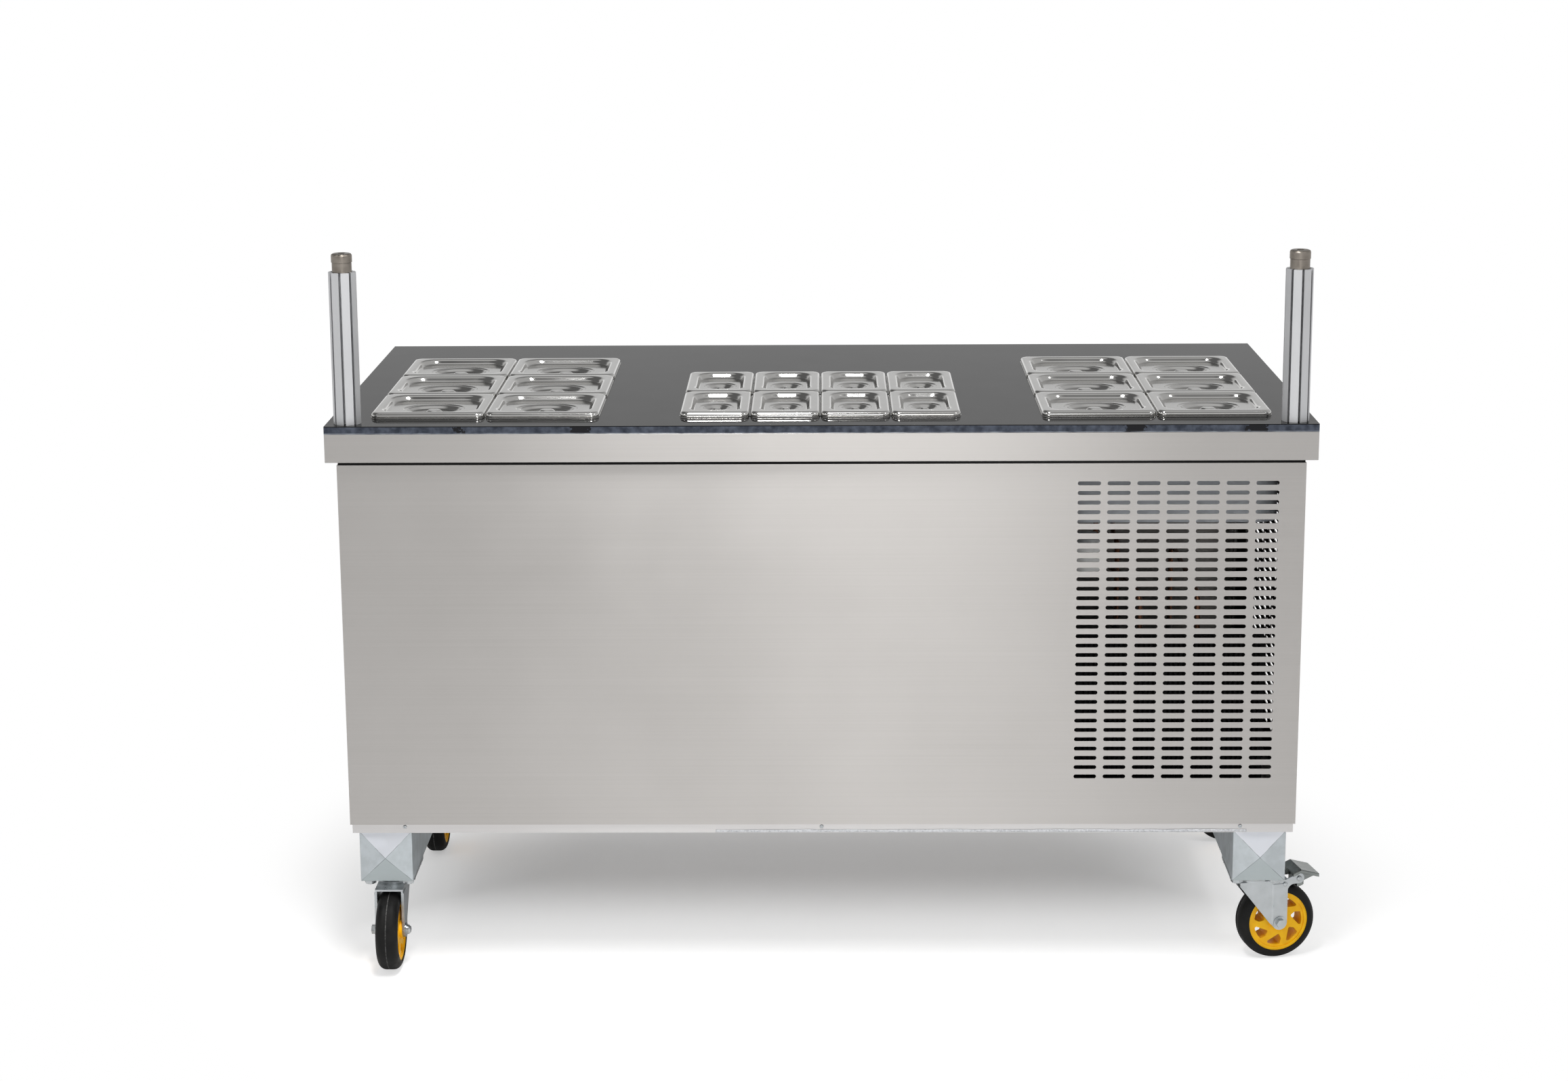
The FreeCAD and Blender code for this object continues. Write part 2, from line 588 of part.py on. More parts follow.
def pressed_lid(width, depth, basin_margin, dish_width, dish_depth, button):
    """Pressed sheet lid about its own centre, the skirt's lower edge at Z = 0."""
    basin_floor = LID_HEIGHT - BASIN_DEPTH
    dish_floor = basin_floor - DISH_DEPTH
    button_top = dish_floor + BUTTON_HEIGHT

    def plate(skin):
        w = width - PAN_GAP - 2 * skin
        d = depth - PAN_GAP - 2 * skin
        solid = rounded_prism(w, d, PAN_CORNER - skin, 0, LID_HEIGHT - skin)
        return solid.makeFillet(LID_ROLL - skin, level_edges(solid, LID_HEIGHT - skin, 0, width))

    def basin(skin):
        w = width - 2 * basin_margin + 2 * skin
        d = depth - 2 * basin_margin + 2 * skin
        corner = BASIN_CORNER + skin
        return tapered(
            (w - 2 * BASIN_SLOPE, d - 2 * BASIN_SLOPE, corner - BASIN_SLOPE, basin_floor - skin),
            (w, d, corner, LID_HEIGHT),
        )

    def dish(skin):
        return oval_frustum(dish_width + 2 * skin, dish_depth + 2 * skin, basin_floor,
                            DISH_SLOPE, dish_floor - skin)

    def grip(skin):
        across = button + 2 * BUTTON_SLOPE - 2 * skin
        return oval_frustum(across, across, dish_floor - LID_SHEET, BUTTON_SLOPE, button_top - skin)

    shell = plate(0).cut(plate(LID_SHEET))
    shell = shell.fuse([basin(LID_SHEET), dish(LID_SHEET)]).cut([basin(0), dish(0)])
    shell = shell.fuse(grip(0)).cut(grip(LID_SHEET)).removeSplitter()
    reach = width / 2 - basin_margin + LID_SHEET
    for height, radius in (
        (LID_HEIGHT, BASIN_BEND),
        (LID_HEIGHT - LID_SHEET, BASIN_BEND - LID_SHEET),
        (basin_floor, BASIN_BEND),
        (basin_floor - LID_SHEET, BASIN_BEND + LID_SHEET),
    ):
        shell = shell.makeFillet(radius, level_edges(shell, height, dish_width / 2 + LID_SHEET, reach))
    return shell


def lids():
    """One lid for each pan, by node name."""
    sixth = pressed_lid(SIXTH_WIDTH, SIXTH_DEPTH, SIXTH_BASIN_MARGIN,
                        SIXTH_DISH_WIDTH, SIXTH_DISH_DEPTH, SIXTH_BUTTON)
    ninth = pressed_lid(NINTH_WIDTH, NINTH_DEPTH, NINTH_BASIN_MARGIN,
                        NINTH_DISH, NINTH_DISH, NINTH_BUTTON)
    named = {}
    for group, row, column, x, y in pan_places():
        form = ninth if group == "middle" else sixth
        named[f"lid_{group}_row{row}_col{column}"] = moved(form, x, y, LID_BASE)
    return named


def pans(wanted_group):
    sixth = pan(SIXTH_WIDTH, SIXTH_DEPTH)
    ninth = pan(NINTH_WIDTH, NINTH_DEPTH)
    placed = []
    for group, _, _, x, y in pan_places():
        form = ninth if group == "middle" else sixth
        if group == wanted_group:
            placed.append(moved(form, x, y, COUNTER_HEIGHT))
    return Part.makeCompound(placed)


def cold_wells():
    """Foamed tubs hung under the openings of the worktop."""
    tubs = []
    for _, x, y, width, depth in group_cutouts():
        inner_w = width - 2 * WELL_LEDGE
        inner_d = depth - 2 * WELL_LEDGE
        tub = rounded_prism(inner_w + 2 * WELL_WALL, inner_d + 2 * WELL_WALL,
                            CUTOUT_CORNER + WELL_WALL, WELL_BOTTOM, SLAB_BOTTOM)
        hollow = rounded_prism(inner_w, inner_d, CUTOUT_CORNER, WELL_FLOOR, SLAB_BOTTOM)
        tubs.append(moved(tub.cut(hollow), x, y, 0))
    return Part.makeCompound(tubs)


def pan_bars():
    """Bars flush with the worktop that carry the pan rims inside each opening."""
    half = BAR_WIDTH / 2
    bars = []
    for group, x, y, width, depth in group_cutouts():
        reach_x = half
        reach_y = depth / 2 - BAR_FIT
        if group == "middle":
            reach_x = width / 2 - BAR_FIT
            reach_y = half
        bars.append(block(x - reach_x, x + reach_x, y - reach_y, y + reach_y,
                          SLAB_BOTTOM, COUNTER_HEIGHT))
    return Part.makeCompound(bars)


# Canopy posts

def post_places():
    for side, turn in zip((-1, 1), POST_TURNS):
        yield side * (TOP_WIDTH / 2 - POST_SIDE_INSET), -TOP_DEPTH / 2 + POST_FRONT_INSET, turn


def canopy_posts():
    """Eight-sided extrusions with an undercut groove at each corner."""
    apothem = POST_ACROSS / 2
    half_step = math.pi / POST_GROOVES
    corner = apothem / math.cos(half_step)
    outline = []
    for index in range(POST_GROOVES):
        angle = 2 * half_step * index - math.pi / 2
        outline.append((corner * math.cos(angle), corner * math.sin(angle), 0))
    bar = polygon_face(outline).extrude(V(0, 0, POST_HEIGHT))
    bar = bar.cut(rod(POST_BORE, ORIGIN, UP, POST_HEIGHT))

    def chamber_half_width(radius):
        return radius * math.tan(half_step) - GROOVE_WEB / 2 / math.cos(half_step)

    lip_inner = corner - GROOVE_LIP - GROOVE_MOUTH / 2
    chamber_outer = lip_inner - GROOVE_LIP / 2
    half_outline = (
        (corner, GROOVE_MOUTH / 2),
        (lip_inner, GROOVE_MOUTH / 2),
        (chamber_outer, chamber_half_width(chamber_outer)),
        (GROOVE_FLOOR, chamber_half_width(GROOVE_FLOOR)),
    )
    mirrored = tuple((radius, -half) for radius, half in reversed(half_outline))
    groove = polygon_face([(half, -radius, 0) for radius, half in half_outline + mirrored])
    groove = groove.extrude(V(0, 0, POST_HEIGHT))
    grooves = [moved(groove, 0, 0, 0, turn=360 / POST_GROOVES * k) for k in range(POST_GROOVES)]
    bar = bar.cut(grooves)
    return Part.makeCompound([moved(bar, x, y, COUNTER_HEIGHT, turn) for x, y, turn in post_places()])


def post_spigots():
    """Turned plugs in the post tops, on which a canopy is set."""
    radius = SPIGOT_DIAMETER / 2
    collar = SPIGOT_COLLAR_DIAMETER / 2
    shoulder = SPIGOT_HEIGHT - SPIGOT_COLLAR_HEIGHT
    stem = POST_BORE / 2 - SPIGOT_FIT
    recess = SPIGOT_RECESS / 2
    plug = turned((
        (0, -SPIGOT_STEM),
        (stem, -SPIGOT_STEM),
        (stem, 0),
        (radius, 0),
        (radius, shoulder - (collar - radius)),
        (collar, shoulder),
        (collar, SPIGOT_HEIGHT - SPIGOT_ROUND),
        (collar - SPIGOT_ROUND * 0.3, SPIGOT_HEIGHT - SPIGOT_ROUND * 0.3),
        (collar - SPIGOT_ROUND, SPIGOT_HEIGHT),
        (recess, SPIGOT_HEIGHT),
        (recess, SPIGOT_HEIGHT - SPIGOT_RECESS_DEPTH),
        (0, SPIGOT_HEIGHT - SPIGOT_RECESS_DEPTH),
    ))
    top = COUNTER_HEIGHT + POST_HEIGHT
    return Part.makeCompound([moved(plug, x, y, top) for x, y, _ in post_places()])


# Chassis

def chassis_beams():
    """Square tubes from front to back, open at the ends where the caps plug in."""
    half = BEAM_SIZE / 2
    bore = half - BEAM_WALL
    end = TOP_DEPTH / 2 - BEAM_INSET - CAP_SHEET
    middle = BEAM_BOTTOM + half
    tube = block(-half, half, -end, end, BEAM_BOTTOM, BEAM_TOP)
    tube = tube.cut(block(-bore, bore, -end, end, middle - bore, middle + bore))
    return Part.makeCompound([moved(tube, side * CASTOR_X, 0, 0) for side in (-1, 1)])


def square_pyramid(base, tip, y_base, y_tip):
    """Four folded faces between a square and its small square tip, along Y."""
    wires = []
    for size, y in ((base, y_base), (tip, y_tip)):
        half = size / 2
        corners = [V(-half, y, -half), V(half, y, -half), V(half, y, half), V(-half, y, half)]
        wires.append(Part.makePolygon(corners + corners[:1]))
    return Part.makeLoft(wires, True, True)


def beam_end_caps():
    """Pressed caps with a shallow folded pyramid and a skirt that plugs into the beam."""
    half = BEAM_SIZE / 2
    skirt_outer = half - BEAM_WALL - CAP_FIT
    skirt_inner = skirt_outer - CAP_SHEET
    plate = block(-half, half, 0, CAP_SHEET, -half, half)
    proud = square_pyramid(BEAM_SIZE, CAP_TIP, 0, -CAP_RISE)
    skirt = block(-skirt_outer, skirt_outer, CAP_SHEET, CAP_PLUG, -skirt_outer, skirt_outer)
    inside = block(-skirt_inner, skirt_inner, 0, CAP_PLUG, -skirt_inner, skirt_inner)
    hollow = square_pyramid(2 * skirt_inner, CAP_TIP, 0, CAP_SHEET - CAP_RISE)
    cap = plate.fuse([proud, skirt]).cut([inside, hollow]).removeSplitter()
    front = -TOP_DEPTH / 2 + BEAM_INSET
    placed = []
    for side in (-1, 1):
        for turn in (0, 180):
            shifted = moved(cap, side * CASTOR_X, front, BEAM_BOTTOM + half)
            shifted.rotate(V(side * CASTOR_X, 0, 0), UP, turn)
            placed.append(shifted)
    return Part.makeCompound(placed)


# Castors, built about the swivel axis with the wheel trailing along +X

def castor_plate():
    """Top plate, swivel head and the kingpin that holds the fork."""
    crown_gap = CROWN_BOTTOM - KINGPIN_END_GAP
    plate = rounded_prism(BEAM_SIZE, PLATE_LENGTH, PLATE_CORNER, PLATE_BOTTOM, BEAM_BOTTOM)
    swivel = turned((
        (0, crown_gap - KINGPIN_HEAD_HEIGHT),
        (KINGPIN_HEAD / 2, crown_gap - KINGPIN_HEAD_HEIGHT),
        (KINGPIN_HEAD / 2, crown_gap),
        (KINGPIN_DIAMETER / 2, crown_gap),
        (KINGPIN_DIAMETER / 2, HEAD_BOTTOM),
        (RACE_DIAMETER / 2, HEAD_BOTTOM),
        (RACE_DIAMETER / 2 + HEAD_TAPER, PLATE_BOTTOM),
        (0, PLATE_BOTTOM),
    ))
    return plate.fuse(swivel)


def fork_side(braked):
    """Side outline of the fork: crown, sloping front edge, eye round the axle, brake ear."""
    half = FORK_WIDTH / 2
    eye = Part.makeCylinder(FORK_EYE, FORK_WIDTH, V(TRAIL, -half, AXLE_HEIGHT), BACK)
    turn = math.radians(240)
    leg = side_prism((
        (-FORK_FRONT, CROWN_TOP),
        (-FORK_FRONT, CROWN_BOTTOM - FORK_SHEET),
        (TRAIL - FORK_TOE, AXLE_HEIGHT),
        (TRAIL + FORK_EYE * math.cos(turn), AXLE_HEIGHT + FORK_EYE * math.sin(turn)),
        (TRAIL, AXLE_HEIGHT),
        (TRAIL + FORK_EYE, AXLE_HEIGHT),
        (FORK_REAR, CROWN_TOP),
    ), -half, half)
    pieces = [eye]
    if braked:
        ear = Part.makeCylinder(EAR_RADIUS, FORK_WIDTH, V(BRAKE_PIN_X, -half, PIN_HEIGHT), BACK)
        arm = side_prism((
            (FORK_REAR - FORK_SHEET, CROWN_TOP),
            (FORK_REAR - FORK_SHEET, PIN_HEIGHT - EAR_RADIUS - EAR_SWEEP),
            (FORK_REAR, PIN_HEIGHT - EAR_RADIUS - EAR_SWEEP),
            (FORK_REAR + EAR_SWEEP, PIN_HEIGHT - EAR_RADIUS),
            (BRAKE_PIN_X, PIN_HEIGHT - EAR_RADIUS),
            (BRAKE_PIN_X, PIN_HEIGHT + EAR_RADIUS),
        ), -half, half)
        hollow = Part.makeCylinder(
            EAR_SWEEP, FORK_WIDTH, V(FORK_REAR + EAR_SWEEP, -half, PIN_HEIGHT - EAR_RADIUS - EAR_SWEEP), BACK)
        pieces += [ear, arm.cut(hollow)]
    return leg.fuse(pieces)


def fork_panel():
    """Pressed panel proud of each leg, its front edge sloped, down to the axle."""
    half = FORK_WIDTH / 2
    proud = half + FORK_RIB_PROUD
    start = TRAIL + FORK_EYE - FORK_RIB_WIDTH
    bottom = AXLE_HEIGHT - FORK_EYE
    plan = polygon_face((
        (start, -half, bottom),
        (start + FORK_RIB_SLOPE, -proud, bottom),
        (FORK_REAR, -proud, bottom),
        (FORK_REAR, proud, bottom),
        (start + FORK_RIB_SLOPE, proud, bottom),
        (start, half, bottom),
    )).extrude(UP * (CROWN_BOTTOM - FORK_SHEET - bottom))
    eye = Part.makeCylinder(FORK_EYE, 2 * proud, V(TRAIL, -proud, AXLE_HEIGHT), BACK)
    upright = block(start, TRAIL + FORK_EYE, -proud, proud, AXLE_HEIGHT, CROWN_BOTTOM)
    return plan.common(eye.fuse(upright))


def castor_fork(braked):
    """Pressed fork with the lower race, its axle bolt and, if braked, the pedal's pin."""
    half = FORK_WIDTH / 2
    reach = max(FORK_REAR, BRAKE_PIN_X + EAR_RADIUS) + EAR_RADIUS
    body = fork_side(braked)
    inside = block(-FORK_FRONT, reach, -FORK_GAP / 2, FORK_GAP / 2, 0, CROWN_BOTTOM)
    above = block(FORK_REAR, reach, -FORK_GAP / 2, FORK_GAP / 2, 0, PIN_HEIGHT + 2 * EAR_RADIUS)
    body = body.cut([inside, above])
    race = rod(RACE_DIAMETER, V(0, 0, CROWN_TOP), UP, RACE_HEIGHT)
    body = body.fuse([race, fork_panel()]).cut(inside)
    kingpin_hole = rod(KINGPIN_DIAMETER + 2 * KINGPIN_FIT, V(0, 0, CROWN_BOTTOM), UP,
                       FORK_SHEET + RACE_HEIGHT)
    outer = half + FORK_RIB_PROUD
    axle_hole = rod(AXLE_DIAMETER + 2 * AXLE_FIT, V(TRAIL, -outer, AXLE_HEIGHT), BACK, 2 * outer)
    body = body.cut([kingpin_hole, axle_hole])
    seat = outer + WASHER_SHEET
    axle = rod(AXLE_DIAMETER, V(TRAIL, -seat, AXLE_HEIGHT), BACK, 2 * seat)
    washers = [rod(AXLE_WASHER, V(TRAIL, y, AXLE_HEIGHT), BACK, WASHER_SHEET) for y in (-seat, outer)]
    head = hexagon(AXLE_HEX, V(TRAIL, -seat - AXLE_HEAD, AXLE_HEIGHT), AXLE_HEAD)
    nut = turned((
        (0, 0),
        (AXLE_HEX / 2, 0),
        (AXLE_HEX / 2, AXLE_HEAD / 2),
        (AXLE_HEX / 3, AXLE_HEAD),
        (0, AXLE_HEAD * 1.2),
    ))
    nut.rotate(ORIGIN, RIGHT, -90)
    nut.translate(V(TRAIL, seat, AXLE_HEIGHT))
    solids = [axle.fuse(washers + [head, nut])]
    if braked:
        length = FORK_WIDTH + 2 * BRAKE_PIN_END
        pin = rod(BRAKE_PIN_DIAMETER, V(BRAKE_PIN_X, -length / 2, PIN_HEIGHT), BACK, length)
        body = body.cut(rod(BRAKE_PIN_DIAMETER + 2 * BRAKE_PIN_FIT,
                            V(BRAKE_PIN_X, -half, PIN_HEIGHT), BACK, FORK_WIDTH))
        solids.append(pin)
    return Part.makeCompound([body] + solids)


def brake_pedal():
    """Pressed pedal: a folded tread with rolled edges, two cheeks on the pin and the brake shoe."""
    half = FORK_GAP / 2 - PEDAL_SIDE_GAP
    tread_half = FORK_WIDTH / 2 + PEDAL_OVERHANG
    heel = (BRAKE_PIN_X - PEDAL_HEEL, PIN_HEIGHT + PEDAL_HEEL_RISE)
    crest = (BRAKE_PIN_X + PEDAL_SHEET, PIN_HEIGHT + PEDAL_CREST_RISE)
    toe = (BRAKE_PIN_X + PEDAL_REACH, PIN_HEIGHT + PEDAL_TIP_RISE)
    lower = (heel, crest, toe)
    upper = tuple((x, z + PEDAL_SHEET) for x, z in reversed(lower))
    pieces = []
    cheek_outline = (
        heel,
        crest,
        toe,
        (BRAKE_PIN_X + PEDAL_CHEEK_DROP, PIN_HEIGHT - PEDAL_CHEEK_DROP),
        (BRAKE_PIN_X - PEDAL_CHEEK_DROP, PIN_HEIGHT - PEDAL_CHEEK_DROP),
    )
    for y0, y1 in ((-half, -half + PEDAL_SHEET), (half - PEDAL_SHEET, half)):
        pieces.append(side_prism(cheek_outline, y0, y1))
    shoe = rod(2 * SHOE_REACH, V(BRAKE_PIN_X, -half, PIN_HEIGHT), BACK, 2 * half)
    pieces.append(shoe.common(block(BRAKE_PIN_X - SHOE_HEEL, BRAKE_PIN_X + SHOE_TOE, -half, half,
                                    PIN_HEIGHT - SHOE_REACH, PIN_HEIGHT)))
    skirt = tuple((x, z - PEDAL_SKIRT) for x, z in reversed(lower))
    for y0, y1 in ((-tread_half, PEDAL_SHEET - tread_half), (tread_half - PEDAL_SHEET, tread_half)):
        pieces.append(side_prism(lower + skirt, y0, y1))
    pedal = side_prism(lower + upper, -tread_half, tread_half).fuse(pieces).removeSplitter()
    long_edges = []
    for edge in pedal.Edges:
        box = edge.BoundBox
        outer = abs(abs(box.Center.y) - tread_half) < LEVEL_TOLERANCE
        if outer and box.YLength < LEVEL_TOLERANCE < box.XLength and box.ZMax > PIN_HEIGHT + PEDAL_HEEL_RISE:
            long_edges.append(edge)
    hole = rod(BRAKE_PIN_DIAMETER + 2 * BRAKE_PIN_FIT, V(BRAKE_PIN_X, -half, PIN_HEIGHT), BACK, 2 * half)
    return pedal.makeFillet(PEDAL_ROUND, long_edges).cut(hole)


def on_axle(shape):
    """A wheel piece turned about Z, laid on the castor's axle."""
    shape.rotate(ORIGIN, RIGHT, -90)
    shape.translate(V(TRAIL, 0, AXLE_HEIGHT))
    return shape


def wheel_core():
    """Moulded core: hub, web with leaning windows, and rim."""
    bore = AXLE_DIAMETER / 2 + AXLE_FIT
    hub = HUB_DIAMETER / 2
    rim_outer = CORE_DIAMETER / 2
    rim_inner = rim_outer - RIM_WALL
    upper = (
        (bore, HUB_WIDTH / 2),
        (hub, HUB_WIDTH / 2),
        (hub, WEB_WIDTH / 2),
        (rim_inner, WEB_WIDTH / 2),
        (rim_inner, CORE_WIDTH / 2),
        (rim_outer, CORE_WIDTH / 2),
    )
    lower = tuple((radius, -y) for radius, y in reversed(upper))
    core = on_axle(turned(upper + lower))
    window = wheel_window(hub + WINDOW_HUB_MARGIN, rim_inner - WINDOW_RIM_MARGIN)
    windows = []
    for index in range(WINDOW_COUNT):
        copy = window.copy()
        copy.rotate(ORIGIN, BACK, WINDOW_START + 360 / WINDOW_COUNT * index)
        windows.append(moved(copy, TRAIL, 0, AXLE_HEIGHT))
    return core.cut(windows)


def wheel_window(inner, outer):
    """One window through the web: curved along the rim, drawn in to a leaning tip at the hub."""
    def point(radius, degrees):
        angle = math.radians(degrees)
        return V(radius * math.cos(angle), -WEB_WIDTH / 2, radius * math.sin(angle))

    tail = point(outer, 0)
    lead = point(outer, WINDOW_SPREAD)
    lean = point((outer + inner) / 2, WINDOW_LEAN)
    tip = point(inner, WINDOW_SPREAD)
    edges = [
        Part.Arc(tail, point(outer, WINDOW_SPREAD / 2), lead).toShape(),
        Part.LineSegment(lead, lean).toShape(),
        Part.LineSegment(lean, tip).toShape(),
        Part.LineSegment(tip, tail).toShape(),
    ]
    prism = Part.Face(Part.Wire(edges)).extrude(BACK * WEB_WIDTH)
    corners = [edge for edge in prism.Edges if abs(edge.BoundBox.YLength - WEB_WIDTH) < LEVEL_TOLERANCE]
    return prism.makeFillet(WINDOW_ROUND, corners)


def wheel_tyre():
    """Solid tyre with rounded shoulders."""
    inner = CORE_DIAMETER / 2 + TYRE_FIT
    tread = WHEEL_DIAMETER / 2
    half = TYRE_WIDTH / 2
    bulge = TYRE_SHOULDER * math.sqrt(0.5)
    shoulder_r = tread - TYRE_SHOULDER
    shoulder_y = half - TYRE_SHOULDER
    low = (V(inner, 0, -half), V(shoulder_r, 0, -half))
    low_arc = V(shoulder_r + bulge, 0, -shoulder_y - bulge)
    flat = (V(tread, 0, -shoulder_y), V(tread, 0, shoulder_y))
    high_arc = V(shoulder_r + bulge, 0, shoulder_y + bulge)
    high = (V(shoulder_r, 0, half), V(inner, 0, half))
    edges = [
        Part.LineSegment(*low).toShape(),
        Part.Arc(low[1], low_arc, flat[0]).toShape(),
        Part.LineSegment(*flat).toShape(),
        Part.Arc(flat[1], high_arc, high[0]).toShape(),
        Part.LineSegment(*high).toShape(),
        Part.LineSegment(high[1], low[0]).toShape(),
    ]
    return on_axle(Part.Face(Part.Wire(edges)).revolve(ORIGIN, UP, 360))


def castor_nodes():
    """Every castor's pieces by node name, and the group of fixed top plates."""
    core = wheel_core()
    tyre = wheel_tyre()
    pedal = brake_pedal()
    forks = {True: castor_fork(True), False: castor_fork(False)}
    plate = castor_plate()
    named = {}
    plates = []
    for name, side, end, turn, braked in CASTORS:
        place = (side * CASTOR_X, end * CASTOR_Y, 0, turn)
        plates.append(moved(plate, *place[:3]))
        named[f"castor_fork_{name}"] = moved(forks[braked], *place)
        named[f"wheel_core_{name}"] = moved(core, *place)
        named[f"wheel_tyre_{name}"] = moved(tyre, *place)
        if braked:
            named[f"brake_pedal_{name}"] = moved(pedal, *place)
    named["castor_plates"] = Part.makeCompound(plates)
    return named


# Condensing unit behind the slots

def partition():
    half_y = BODY_Y - TRAY_INSET - TRAY_SHEET
    return block(PARTITION_X - PARTITION_SHEET, PARTITION_X, -half_y, half_y, TRAY_FLOOR, WELL_BOTTOM)


def condenser_coil():
    """Finned block between two end plates that stand on the tray."""
    half = COIL_WIDTH / 2
    top = TRAY_FLOOR + COIL_HEIGHT
    fins = block(GRILLE_X - half, GRILLE_X + half, COIL_FRONT, COIL_BACK, TRAY_FLOOR + COIL_LIFT, top)
    pitch = (COIL_WIDTH - 2 * COIL_PLATE) / (FIN_COUNT + 1)
    gaps = []
    for index in range(FIN_COUNT):
        middle = GRILLE_X - half + COIL_PLATE + (index + 1) * pitch
        gaps.append(block(middle - FIN_GAP_WIDTH / 2, middle + FIN_GAP_WIDTH / 2,
                          COIL_FRONT, COIL_FRONT + FIN_GAP_DEPTH, TRAY_FLOOR + COIL_LIFT, top))
    plates = []
    for edge in (GRILLE_X - half, GRILLE_X + half - COIL_PLATE):
        plates.append(block(edge, edge + COIL_PLATE, COIL_FRONT, COIL_BACK, TRAY_FLOOR, top))
    return fins.cut(gaps).fuse(plates).removeSplitter()


def fan_shroud():
    """Sheet behind the coil with the fan's ring, and the strap that carries the motor."""
    half = COIL_WIDTH / 2
    middle = V(GRILLE_X, COIL_BACK, FAN_HEIGHT)
    back = COIL_BACK + SHROUD_SHEET
    sheet = block(GRILLE_X - half, GRILLE_X + half, COIL_BACK, back, TRAY_FLOOR, TRAY_FLOOR + COIL_HEIGHT)
    collar = rod(SHROUD_OPENING + 2 * SHROUD_SHEET, middle, BACK, SHROUD_COLLAR)
    opening = rod(SHROUD_OPENING, middle, BACK, SHROUD_COLLAR)
    z0 = FAN_HEIGHT - STRAP_WIDTH / 2
    z1 = FAN_HEIGHT + STRAP_WIDTH / 2
    reach = STRAP_SPAN / 2
    strap = [block(GRILLE_X - reach, GRILLE_X + reach, MOTOR_BACK, MOTOR_BACK + STRAP_SHEET, z0, z1)]
    for side in (-1, 1):
        outer = GRILLE_X + side * reach
        inner = GRILLE_X + side * (reach - STRAP_SHEET)
        strap.append(block(min(outer, inner), max(outer, inner), back, MOTOR_BACK, z0, z1))
    return sheet.fuse([collar]).cut(opening).fuse(strap).removeSplitter()


def fan_motor():
    """Round motor on the strap, its shaft forward into the fan."""
    middle = V(GRILLE_X, MOTOR_FRONT, FAN_HEIGHT)
    case = rod(MOTOR_DIAMETER, middle, BACK, MOTOR_LENGTH)
    case = case.makeFillet(MOTOR_ROUND, [edge for edge in case.Edges if len(edge.Vertexes) == 1])
    reach = MOTOR_GAP + FAN_HUB_LENGTH
    return case.fuse(rod(SHAFT_DIAMETER, middle - BACK * reach, BACK, reach + MOTOR_ROUND))


def fan_blades():
    """Hub and pitched blades, bored for the motor's shaft."""
    hub = rod(FAN_HUB_DIAMETER, V(0, -FAN_HUB_LENGTH / 2, 0), BACK, FAN_HUB_LENGTH)
    tip_reach = SHROUD_OPENING / 2 - FAN_TIP_GAP
    tip = math.sqrt(tip_reach ** 2 - (BLADE_TIP_CHORD / 2) ** 2)
    wires = []
    for radius, chord, pitch in (
        (FAN_HUB_DIAMETER / 2 - BLADE_SHEET, BLADE_ROOT_CHORD, BLADE_ROOT_PITCH),
        (tip, BLADE_TIP_CHORD, BLADE_TIP_PITCH),
    ):
        angle = math.radians(pitch)
        along = V(0, math.sin(angle), math.cos(angle)) * (chord / 2)
        across = V(0, math.cos(angle), -math.sin(angle)) * (BLADE_SHEET / 2)
        middle = V(radius, 0, 0)
        corners = [middle - along - across, middle + along - across,
                   middle + along + across, middle - along + across]
        wires.append(Part.makePolygon(corners + corners[:1]))
    blade = Part.makeLoft(wires, True, True)
    blades = []
    for index in range(FAN_BLADES):
        copy = blade.copy()
        copy.rotate(ORIGIN, BACK, 360 / FAN_BLADES * index)
        blades.append(copy)
    bore = rod(SHAFT_DIAMETER + 2 * SHAFT_FIT, V(0, -FAN_HUB_LENGTH / 2, 0), BACK, FAN_HUB_LENGTH)
    return moved(hub.fuse(blades).cut(bore), GRILLE_X, FAN_Y, FAN_HEIGHT)


def compressor():
    """Welded pot with a domed top, pipe stubs and a foot plate."""
    radius = COMPRESSOR_DIAMETER / 2
    seam = COMPRESSOR_HEIGHT / 2
    shoulder = COMPRESSOR_HEIGHT - COMPRESSOR_DOME
    crown = COMPRESSOR_HEIGHT - COMPRESSOR_DOME / 4
    pot = turned((
        (0, 0),
        (radius, 0),
        (radius, seam),
        (radius + COMPRESSOR_SEAM, seam),
        (radius + COMPRESSOR_SEAM, seam + COMPRESSOR_SEAM),
        (radius, seam + COMPRESSOR_SEAM),
        (radius, shoulder),
        (radius * 0.75, crown),
        (0, COMPRESSOR_HEIGHT),
    ))
    pot = moved(pot, GRILLE_X, COMPRESSOR_Y, POT_BOTTOM)
    plate = rounded_prism(FOOT_PLATE_WIDTH, FOOT_PLATE_DEPTH, GROMMET_INSET, FOOT_PLATE_BOTTOM, POT_BOTTOM)
    pieces = [moved(plate, GRILLE_X, COMPRESSOR_Y, 0)]
    for side in (-1, 1):
        foot = V(GRILLE_X + side * STUB_OFFSET, COMPRESSOR_Y, POT_TOP - COMPRESSOR_DOME)
        pieces.append(rod(STUB_DIAMETER, foot, UP, STUB_TOP - foot.z))
    return pot.fuse(pieces)


def compressor_grommets():
    """Rubber feet between the foot plate and the tray."""
    feet = []
    for side in (-1, 1):
        for end in (-1, 1):
            x = GRILLE_X + side * (FOOT_PLATE_WIDTH / 2 - GROMMET_INSET)
            y = COMPRESSOR_Y + end * (FOOT_PLATE_DEPTH / 2 - GROMMET_INSET)
            feet.append(rod(GROMMET_DIAMETER, V(x, y, TRAY_FLOOR), UP, GROMMET_HEIGHT))
    return Part.makeCompound(feet)


